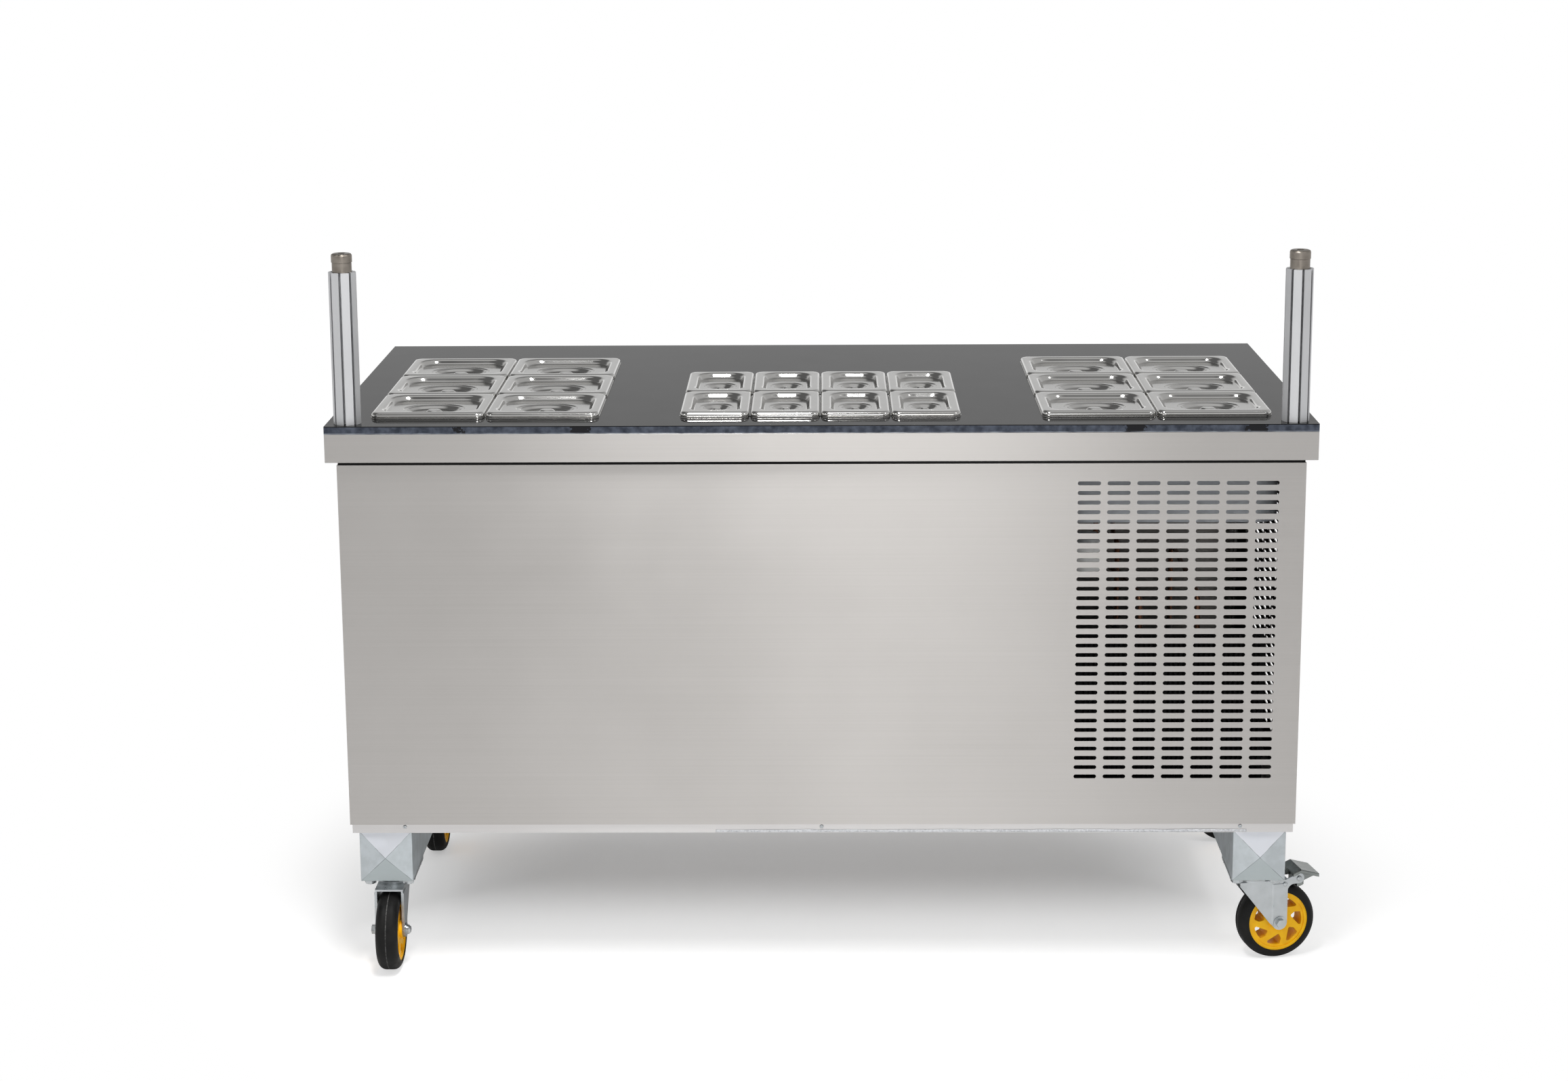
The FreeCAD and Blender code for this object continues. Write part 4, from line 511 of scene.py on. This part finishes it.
tree, shader = start_finish("black_worktop")
shader.inputs["IOR"].default_value = FACE_IOR
where = split(tree, position(tree))
on_edge = maths(tree, "LESS_THAN", where["Z"], EDGE_TOP)
on_foot = maths(tree, "LESS_THAN", where["Z"], EDGE_FOOT)
frayed = maths(tree, "MULTIPLY", maths(tree, "SUBTRACT", mottle(tree, 150.0), 0.5), FRAY)
along = maths(tree, "ADD", where["X"], frayed)
bare = 0.0
for middle, half in BARE_SPOTS:
    inside = add_node(tree, "ShaderNodeMath", operation="COMPARE")
    feed(tree, along, inside.inputs[0])
    inside.inputs[1].default_value = middle
    inside.inputs[2].default_value = half
    bare = maths(tree, "MAXIMUM", inside.outputs[0], bare)
slate = blend_colours(tree, mottle(tree, 90.0, 0.3), SLATE_DARK, SLATE_LIGHT)
patched = blend_colours(tree, bare, slate, BARE_BLACK)
# Painted highlight along the foot of the edge, in patches.
patchy_foot_highlight = maths(tree, "MULTIPLY", on_foot, mottle(tree, 40.0, 0.35))
edge_colour = blend_colours(tree, patchy_foot_highlight, patched, PAINTED_FOOT_HIGHLIGHT)
dust = blend_colours(tree, mottle(tree, 18.0, 0.3), FACE_BLACK, FACE_DUST)
feed(tree, blend_colours(tree, on_edge, dust, edge_colour), shader.inputs["Base Color"])
polish = spread(tree, mottle(tree, 7.0), 0.0, 1.0, *FACE_ROUGHNESS)
ground = maths(tree, "MULTIPLY", on_edge, EDGE_ROUGHNESS)
feed(tree, maths(tree, "ADD", polish, ground), shader.inputs["Roughness"])
print("slab finish with", len(BARE_SPOTS), "bare spots on its edge")

# %% [markdown]
# ## Edges that catch the light
# A folded or sawn edge is never perfectly sharp: it shows as a thin bright or dark line. The
# designed pieces have sharp edges, so the ones that show are copied, their loose triangles are
# merged and joined to whole faces, and a Bevel rounds every edge that turns by more than a set
# angle.

# %% Softened copies
MERGE_WITHIN = 0.000002
FLAT_WITHIN = math.radians(0.5)
EDGE_SEGMENTS = 3


def to_mesh(piece):
    """Turn an object's evaluated modifiers into its plain mesh."""
    graph = bpy.context.evaluated_depsgraph_get()
    mesh = bpy.data.meshes.new_from_object(piece.evaluated_get(graph))
    piece.modifiers.clear()
    piece.data = mesh
    mesh.name = piece.name


def seat(piece, body, slot, *nodes):
    """Give a finished piece its body and hide the designed pieces it stands for; slot is not used."""
    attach(piece, body)
    if nodes:
        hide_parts(*nodes)


def dress(piece, finish):
    piece.data.materials.clear()
    piece.data.materials.append(FINISHES[finish])


def softened(node, name, width, finish, slot, turn, body):
    mesh = NODES[node].data.copy()
    shape = bmesh.new()
    shape.from_mesh(mesh)
    bmesh.ops.remove_doubles(shape, verts=shape.verts, dist=MERGE_WITHIN)
    bmesh.ops.dissolve_limit(shape, angle_limit=FLAT_WITHIN, verts=shape.verts, edges=shape.edges)
    shape.to_mesh(mesh)
    shape.free()
    mesh.shade_flat()
    piece = bpy.data.objects.new(name, mesh)
    scene.collection.objects.link(piece)
    bevel = piece.modifiers.new("edge", "BEVEL")
    bevel.width = width
    bevel.segments = EDGE_SEGMENTS
    bevel.limit_method = "ANGLE"
    bevel.angle_limit = math.radians(turn)
    to_mesh(piece)
    dress(piece, finish)
    seat(piece, body, slot, node)
    print(name, len(piece.data.polygons), "faces")


softened("worktop", "slab", 0.0008, "black_worktop", "black_worktop", 30, "counter")
softened("apron_frame", "apron", 0.0009, "sealed_stainless", "brushed_stainless", 30, "counter")
softened("beam_end_caps", "beam_caps", 0.0009, "folded_caps", "galvanised_steel", 12, "counter")
softened("chassis_beams", "beams", 0.0025, "galvanised_steel", "galvanised_steel", 30, "counter")
softened("canopy_posts", "posts", 0.0005, "post_aluminium", "post_aluminium", 30, "counter")
for corner in ("front_right", "rear_right"):
    softened("brake_pedal_" + corner, "brake_" + corner, 0.0009, "pedal_steel",
             "zinc_plated_steel", 25, "pedal_" + corner)

# %% [markdown]
# ## Pressed lids
# Each lid is drawn from one thin sheet: a rolled edge, a flat rim, a basin with soft shoulders, a
# stepped finger dish and a small button to grip. Such a form is a stack of closed rings that change
# from a rounded rectangle to an oval to a circle. Rays from the lid's centre cut every ring, so the
# faces line up, and the wall between two levels bends over, runs straight down and bends back.

# %% Rings of a lid
RING_POINTS = 144


def corner_reach(half_w, half_d, radius, angle):
    """Distance from the centre to a rounded rectangle along one direction."""
    x = abs(math.cos(angle))
    y = abs(math.sin(angle))
    flat = min(half_w / max(x, 1e-9), half_d / max(y, 1e-9))
    if flat * x <= half_w - radius or flat * y <= half_d - radius:
        return flat
    cx = half_w - radius
    cy = half_d - radius
    along = x * cx + y * cy
    return along + math.sqrt(max(0.0, along * along - (cx * cx + cy * cy - radius * radius)))


def oval_reach(half_w, half_d, angle):
    return 1 / math.hypot(math.cos(angle) / half_w, math.sin(angle) / half_d)


def ring_angles(half_w, half_d, radius):
    """Directions from the centre, closer together round the corners."""
    stops = []
    steps = RING_POINTS // 12
    for step in range(steps):
        stops.append((half_w, -(half_d - radius) * (1 - 2 * step / steps)))
    quarter = RING_POINTS // 8
    for step in range(quarter):
        angle = math.pi / 2 * step / quarter
        stops.append((half_w - radius + radius * math.cos(angle),
                      half_d - radius + radius * math.sin(angle)))
    steps = RING_POINTS // 2 - len(stops) - quarter
    for step in range(steps):
        stops.append(((half_w - radius) * (1 - 2 * step / steps), half_d))
    for step in range(quarter):
        angle = math.pi / 2 * (1 + step / quarter)
        stops.append((-half_w + radius + radius * math.cos(angle),
                      half_d - radius + radius * math.sin(angle)))
    half_turn = [math.atan2(y, x) for x, y in stops]
    return half_turn + [angle + math.pi for angle in half_turn]


# %% One lid of each size
LID_GAP = 0.002
LID_CORNER = 0.012
LID_TOP = 0.007
ROLL = 0.005
ROLL_STEPS = 6
BASIN_DROP = 0.008
BASIN_WALL = math.radians(60)
BASIN_BEND = 0.0062
DISH_STEP = 0.0011
DISH_STEP_BEND = 0.0012
DISH_DROP = 0.0048
DISH_SHRINK = 0.009
DISH_WALL = math.radians(42)
BUTTON_RISE = 0.0036
BUTTON_WALL = math.radians(38)
BUTTON_BEND = 0.0025
BUTTON_CROWN = 0.0001
BEND_STEPS = 8
FLAT_SHARE = 0.6


def press(drop, slope, bend):
    """Run and fall of a pressed wall: bend over, straight down, bend back."""
    run = bend * math.sin(slope)
    fall = bend * (1 - math.cos(slope))
    straight = (drop - 2 * fall) / math.sin(slope)
    profile = []
    for step in range(BEND_STEPS + 1):
        turn = slope * step / BEND_STEPS
        profile.append((bend * math.sin(turn), bend * (1 - math.cos(turn))))
    end = 2 * run + straight * math.cos(slope)
    return profile + [(end - x, drop - z) for x, z in reversed(profile)]


def lid_rings(width, depth, margin, basin_corner, dish_w, dish_d, dish_bend, button):
    """Reach along every direction, and height, of each ring from the skirt to the button."""
    half_w = (width - LID_GAP) / 2
    half_d = (depth - LID_GAP) / 2
    angles = ring_angles(half_w, half_d, LID_CORNER)

    def inset(by, corner):
        return [corner_reach(half_w - by, half_d - by, corner, angle) for angle in angles]

    def oval(w, d):
        return [oval_reach(w / 2, d / 2, angle) for angle in angles]

    def between(first, second, share):
        return [a + (b - a) * share for a, b in zip(first, second)]

    rings = [(inset(0, LID_CORNER), 0.0), (inset(0, LID_CORNER), LID_TOP - ROLL)]
    for step in range(1, ROLL_STEPS + 1):
        turn = math.pi / 2 * step / ROLL_STEPS
        by = ROLL * (1 - math.cos(turn))
        rings.append((inset(by, LID_CORNER - by / 2), LID_TOP - ROLL + ROLL * math.sin(turn)))
    rings.append((inset((ROLL + margin) / 2, LID_CORNER), LID_TOP))
    for run, fall in press(BASIN_DROP, BASIN_WALL, BASIN_BEND):
        floor = inset(margin + run, basin_corner - run / 2)
        rings.append((floor, LID_TOP - fall))
    height = LID_TOP - BASIN_DROP
    rings.append((between(floor, oval(dish_w, dish_d), FLAT_SHARE), height))
    for shrink, drop, bend in ((0.0, DISH_STEP, DISH_STEP_BEND),
                               (DISH_SHRINK, DISH_DROP, dish_bend)):
        for run, fall in press(drop, DISH_WALL, bend):
            floor = oval(dish_w - shrink - 2 * run, dish_d - shrink - 2 * run)
            rings.append((floor, height - fall))
        height -= drop
    rings.append((between(floor, oval(button, button), FLAT_SHARE), height))
    for run, fall in press(BUTTON_RISE, BUTTON_WALL, BUTTON_BEND):
        rings.append((oval(button - 2 * run, button - 2 * run), height + fall))
    return angles, rings


def stacked(name, angles, rings, peak, foot=False):
    """Mesh from rings, each with its reaches and its height, closed by a point in the middle."""
    shape = bmesh.new()
    loops = []
    for reaches, height in rings:
        loops.append([shape.verts.new((r * math.cos(a), r * math.sin(a), height))
                      for r, a in zip(reaches, angles)])
    for outer, inner in zip(loops, loops[1:]):
        for here in range(len(angles)):
            after = (here + 1) % len(angles)
            shape.faces.new((outer[here], outer[after], inner[after], inner[here]))
    if foot:
        shape.faces.new(loops[0])
    centre = shape.verts.new((0, 0, peak))
    for here in range(len(angles)):
        shape.faces.new((loops[-1][here], loops[-1][(here + 1) % len(angles)], centre))
    bmesh.ops.recalc_face_normals(shape, faces=shape.faces)
    mesh = bpy.data.meshes.new(name)
    shape.to_mesh(mesh)
    shape.free()
    mesh.shade_smooth()
    return mesh


def pressed_lid(name, **sizes):
    angles, rings = lid_rings(**sizes)
    return stacked(name, angles, rings, rings[-1][1] + BUTTON_CROWN)


SIXTH = pressed_lid("sixth", width=0.176, depth=0.162, margin=0.0105, basin_corner=0.03,
                    dish_w=0.097, dish_d=0.072, dish_bend=0.006, button=0.03)
NINTH = pressed_lid("ninth", width=0.108, depth=0.176, margin=0.0115, basin_corner=0.026,
                    dish_w=0.054, dish_d=0.054, dish_bend=0.004, button=0.02)
print("lid faces", len(SIXTH.polygons), len(NINTH.polygons))


# %% Twenty lids in their places
LID_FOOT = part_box("left_pans")[1].z + 0.0003
LID_SHEET = 0.0008


def place_lid(node):
    low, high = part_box(node)
    mesh = (NINTH if "middle" in node else SIXTH).copy()
    mesh.name = node
    mesh.transform(Matrix.Translation(((low.x + high.x) / 2, (low.y + high.y) / 2, LID_FOOT)))
    piece = bpy.data.objects.new("pressed_" + node, mesh)
    scene.collection.objects.link(piece)
    wall = piece.modifiers.new("sheet", "SOLIDIFY")
    wall.thickness = LID_SHEET
    wall.offset = -1
    to_mesh(piece)
    dress(piece, "lid_stainless")
    seat(piece, node + "_body", "lid_stainless", node)


LIDS = sorted(node for node in NODES if node.startswith("lid_"))
for node in LIDS:
    place_lid(node)
print(len(LIDS), "lids")

# %% [markdown]
# ## Screws, bolts and rivets
# Cross-recess screws hold the base strip, hexagon bolts the castor plates, and rivets the braked
# forks. One Geometry Nodes tree sets a head on each point of a small mesh: every point carries the
# direction that its head faces, and a seeded random turn keeps the recesses from lining up. A head
# is a stack of rings, like a lid, drawn one unit wide and scaled by the tree's Diameter input.

# %% Heads, one unit wide
SUNK = -0.03
SHARP_FROM = math.radians(35)


def even_angles(count):
    return [2 * math.pi * step / count for step in range(count)]


def round_rings(angles, *outline):
    """Round rings from (reach, height) pairs."""
    return [([reach] * len(angles), height) for reach, height in outline]


def cross_reach(angle, length, half_width):
    x = max(abs(math.cos(angle)), 1e-9)
    y = max(abs(math.sin(angle)), 1e-9)
    return max(min(length / x, half_width / y), min(half_width / x, length / y))


def make_head(name, angles, rings, peak):
    mesh = stacked(name, angles, rings, peak, foot=True)
    mesh.set_sharp_from_angle(angle=SHARP_FROM)
    return bpy.data.objects.new(name, mesh)


around = even_angles(40)
pan = round_rings(around, (0.5, SUNK), (0.5, 0.1), (0.47, 0.2), (0.39, 0.29), (0.31, 0.33))
cross = [cross_reach(angle, 0.25, 0.05) for angle in around]
SCREW = make_head("cross_screw", around, pan + [(cross, 0.34), (cross, 0.16)], 0.12)
around = even_angles(36)
hexagon = [0.5 / math.cos((angle + math.pi / 6) % (math.pi / 3) - math.pi / 6) for angle in around]
washer = round_rings(around, (0.66, SUNK), (0.66, 0.09), (0.63, 0.11))
crown = [(hexagon, 0.11), (hexagon, 0.4)] + round_rings(around, (0.47, 0.45))
BOLT = make_head("hexagon_bolt", around, washer + crown, 0.455)
dome = round_rings(around, (0.5, SUNK), (0.5, 0.14), (0.47, 0.22), (0.39, 0.3), (0.27, 0.35),
                   (0.12, 0.37))
RIVET = make_head("domed_rivet", around, dome, 0.375)
print("heads:", SCREW.name, BOLT.name, RIVET.name)

# %% Tree that sets heads on points
TURN_SEED = 11
heads_tree = bpy.data.node_groups.new("heads_on_points", "GeometryNodeTree")
for label, kind in (("Geometry", "NodeSocketGeometry"), ("Head", "NodeSocketObject"),
                    ("Diameter", "NodeSocketFloat"), ("Finish", "NodeSocketMaterial")):
    heads_tree.interface.new_socket(name=label, in_out="INPUT", socket_type=kind)
heads_tree.interface.new_socket(name="Geometry", in_out="OUTPUT", socket_type="NodeSocketGeometry")
given = heads_tree.nodes.new("NodeGroupInput")
facing = add_node(heads_tree, "GeometryNodeInputNamedAttribute", data_type="FLOAT_VECTOR")
facing.inputs["Name"].default_value = "facing"
aligned = add_node(heads_tree, "FunctionNodeAlignRotationToVector", axis="Z")
feed(heads_tree, facing.outputs["Attribute"], aligned.inputs["Vector"])
chance = add_node(heads_tree, "FunctionNodeRandomValue", data_type="FLOAT")
chance.inputs[3].default_value = 2 * math.pi
chance.inputs["Seed"].default_value = TURN_SEED
spun = add_node(heads_tree, "FunctionNodeAxisAngleToRotation")
spun.inputs["Axis"].default_value = (0, 0, 1)
feed(heads_tree, chance.outputs[1], spun.inputs["Angle"])
turned = add_node(heads_tree, "FunctionNodeRotateRotation", rotation_space="LOCAL")
feed(heads_tree, aligned.outputs["Rotation"], turned.inputs["Rotation"])
feed(heads_tree, spun.outputs["Rotation"], turned.inputs["Rotate By"])
head_shape = add_node(heads_tree, "GeometryNodeObjectInfo")
feed(heads_tree, given.outputs["Head"], head_shape.inputs["Object"])
set_heads = add_node(heads_tree, "GeometryNodeInstanceOnPoints")
feed(heads_tree, given.outputs["Geometry"], set_heads.inputs["Points"])
feed(heads_tree, head_shape.outputs["Geometry"], set_heads.inputs["Instance"])
feed(heads_tree, turned.outputs["Rotation"], set_heads.inputs["Rotation"])
feed(heads_tree, given.outputs["Diameter"], set_heads.inputs["Scale"])
solid = add_node(heads_tree, "GeometryNodeRealizeInstances")
feed(heads_tree, set_heads.outputs["Instances"], solid.inputs["Geometry"])
painted = add_node(heads_tree, "GeometryNodeSetMaterial")
feed(heads_tree, solid.outputs["Geometry"], painted.inputs["Geometry"])
feed(heads_tree, given.outputs["Finish"], painted.inputs["Material"])
made = heads_tree.nodes.new("NodeGroupOutput")
feed(heads_tree, painted.outputs["Geometry"], made.inputs["Geometry"])


def fasten(name, body, head, diameter, finish, spots):
    """Heads at (place, facing) spots, made one plain mesh on one body."""
    mesh = bpy.data.meshes.new(name)
    mesh.from_pydata([place for place, _ in spots], [], [])
    layer = mesh.attributes.new("facing", "FLOAT_VECTOR", "POINT")
    for entry, (_, faces) in zip(layer.data, spots):
        entry.vector = faces
    piece = bpy.data.objects.new(name, mesh)
    scene.collection.objects.link(piece)
    modifier = piece.modifiers.new("heads", "NODES")
    modifier.node_group = heads_tree
    values = {"Head": head, "Diameter": diameter, "Finish": FINISHES[finish]}
    for item in heads_tree.interface.items_tree:
        if item.in_out == "INPUT" and item.name in values:
            modifier[item.identifier] = values[item.name]
    to_mesh(piece)
    seat(piece, body, finish)
    print(name, len(piece.data.polygons), "faces")


# %% [markdown]
# The spots follow the designed pieces: the strip's face comes from the base tray's box, the bolts
# sit round each castor's swivel axis, and the rivets are measured along and across the two braked
# forks, whose direction is the line from the swivel axis to the axle.

# %% Fasteners in their places
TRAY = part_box("base_tray")
STRIP_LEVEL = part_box("front_panel")[0].z - 0.0045
STRIP_SCREWS_X = (-0.65, 0.0, 0.65)
STRIP_SCREWS_Y = (-0.25, 0.25)
SCREW_WIDTH = 0.0062
strip_spots = []
for x in STRIP_SCREWS_X:
    strip_spots.append(((x, TRAY[0].y, STRIP_LEVEL), (0, -1, 0)))
    strip_spots.append(((x, TRAY[1].y, STRIP_LEVEL), (0, 1, 0)))
for y in STRIP_SCREWS_Y:
    strip_spots.append(((TRAY[0].x, y, STRIP_LEVEL), (-1, 0, 0)))
    strip_spots.append(((TRAY[1].x, y, STRIP_LEVEL), (1, 0, 0)))
fasten("strip_screws", "counter", SCREW, SCREW_WIDTH, "zinc_plated_steel", strip_spots)

PLATE_UNDERSIDE = 0.148
BOLT_X = 0.03
BOLT_Y = 0.04
BOLT_WIDTH = 0.0165
SWIVELS = {joint["name"]: Vector(joint["pos_m"])
           for joint in frame["joints"] if "swivel" in joint["name"]}
plate_spots = []
for axis in SWIVELS.values():
    for x in (-BOLT_X, BOLT_X):
        for y in (-BOLT_Y, BOLT_Y):
            plate_spots.append(((axis.x + x, axis.y + y, PLATE_UNDERSIDE), (0, 0, -1)))
fasten("plate_bolts", "counter", BOLT, BOLT_WIDTH, "zinc_plated_steel", plate_spots)

FORK_HALF = 0.022
# Name, reach from the swivel axis, height above the floor and width.
FORK_RIVETS = (("guard_rivets_", 0.0475, 0.126, 0.0075), ("pin_rivets_", 0.071, 0.134, 0.0085))
for joint in ROLL_JOINTS:
    corner = joint["name"].replace("roll_", "")
    if not corner.endswith("right"):
        continue
    swivel = next(axis for name, axis in SWIVELS.items() if corner in name)
    lead = (Vector(joint["pos_m"]) - swivel) * Vector((1, 1, 0))
    lead.normalize()
    side = Vector((-lead.y, lead.x, 0))
    for name, reach, level, diameter in FORK_RIVETS:
        middle = Vector((swivel.x, swivel.y, level)) + lead * reach
        spots = [(middle + side * FORK_HALF, side), (middle - side * FORK_HALF, -side)]
        fasten(name + corner, "castor_" + corner, RIVET, diameter, "zinc_plated_steel", spots)
for head in (SCREW, BOLT, RIVET):
    bpy.data.objects.remove(head)

# %% [markdown]
# ## Foil edge
# A strip of white protective foil was left on the lower half of the base strip, from the middle to
# the right. It was torn off by hand, so its edges wander and it lifts a little from the steel. It
# is a grid whose rows follow a few slow waves, thickened to a sheet.

# %% Foil edge
FOIL_LEFT = -0.165
FOIL_RIGHT = 0.66
FOIL_COLUMNS = 330
FOIL_ROWS = 5
FOIL_LOW = TRAY[0].z + 0.0006
FOIL_HEIGHT = 0.0045
FOIL_LIFT = 0.0004
FOIL_SHEET = 0.0002
FOIL_TEAR_LOW, FOIL_TEAR_HIGH = 0.0003, 0.0006
FOIL_CRUMPLE, CRUMPLE_SLANT = 0.0003, 0.004
# Share of the phase, pace per metre and size of each wave.
WAVES = ((1, 31, 1.0), (2, 83, 0.7), (3, 211, 0.5))


def wander(x, phase):
    """Slow uneven wave between -1 and 1."""
    swing = sum(size * math.sin(pace * x + share * phase) for share, pace, size in WAVES)
    return swing / sum(size for _, _, size in WAVES)


shape = bmesh.new()
rows = []
for row in range(FOIL_ROWS):
    share = row / (FOIL_ROWS - 1)
    line = []
    for column in range(FOIL_COLUMNS + 1):
        x = FOIL_LEFT + (FOIL_RIGHT - FOIL_LEFT) * column / FOIL_COLUMNS
        low = FOIL_LOW + FOIL_TEAR_LOW * (1 + wander(x, 0.4))
        high = FOIL_LOW + FOIL_HEIGHT + FOIL_TEAR_HIGH * wander(x, 1.9)
        lift = FOIL_LIFT + FOIL_CRUMPLE * (1 + wander(x + CRUMPLE_SLANT * row, 3.1))
        line.append(shape.verts.new((x, TRAY[0].y - lift, low + (high - low) * share)))
    rows.append(line)
for lower, upper in zip(rows, rows[1:]):
    for column in range(FOIL_COLUMNS):
        shape.faces.new((lower[column], lower[column + 1], upper[column + 1], upper[column]))
mesh = bpy.data.meshes.new("foil_edge")
shape.to_mesh(mesh)
shape.free()
mesh.shade_smooth()
foil = bpy.data.objects.new("foil_edge", mesh)
scene.collection.objects.link(foil)
wall = foil.modifiers.new("sheet", "SOLIDIFY")
wall.thickness = FOIL_SHEET
wall.offset = 1
to_mesh(foil)
dress(foil, "white_foil")
seat(foil, "counter", "white_plastic")
print("foil edge", len(foil.data.polygons), "faces")

# %% [markdown]
# ## Finishes on the designed pieces
# Every other piece keeps its shape. The record names a finish for each, and it gets that one here.

# %% Dress the designed pieces
dressed = 0
for entry in frame["record"]["subparts"]:
    node = NODES[entry["node"]]
    if not node.hide_render:
        dress(node, entry["material_slot"])
        dressed += 1
print(dressed, "designed pieces dressed")
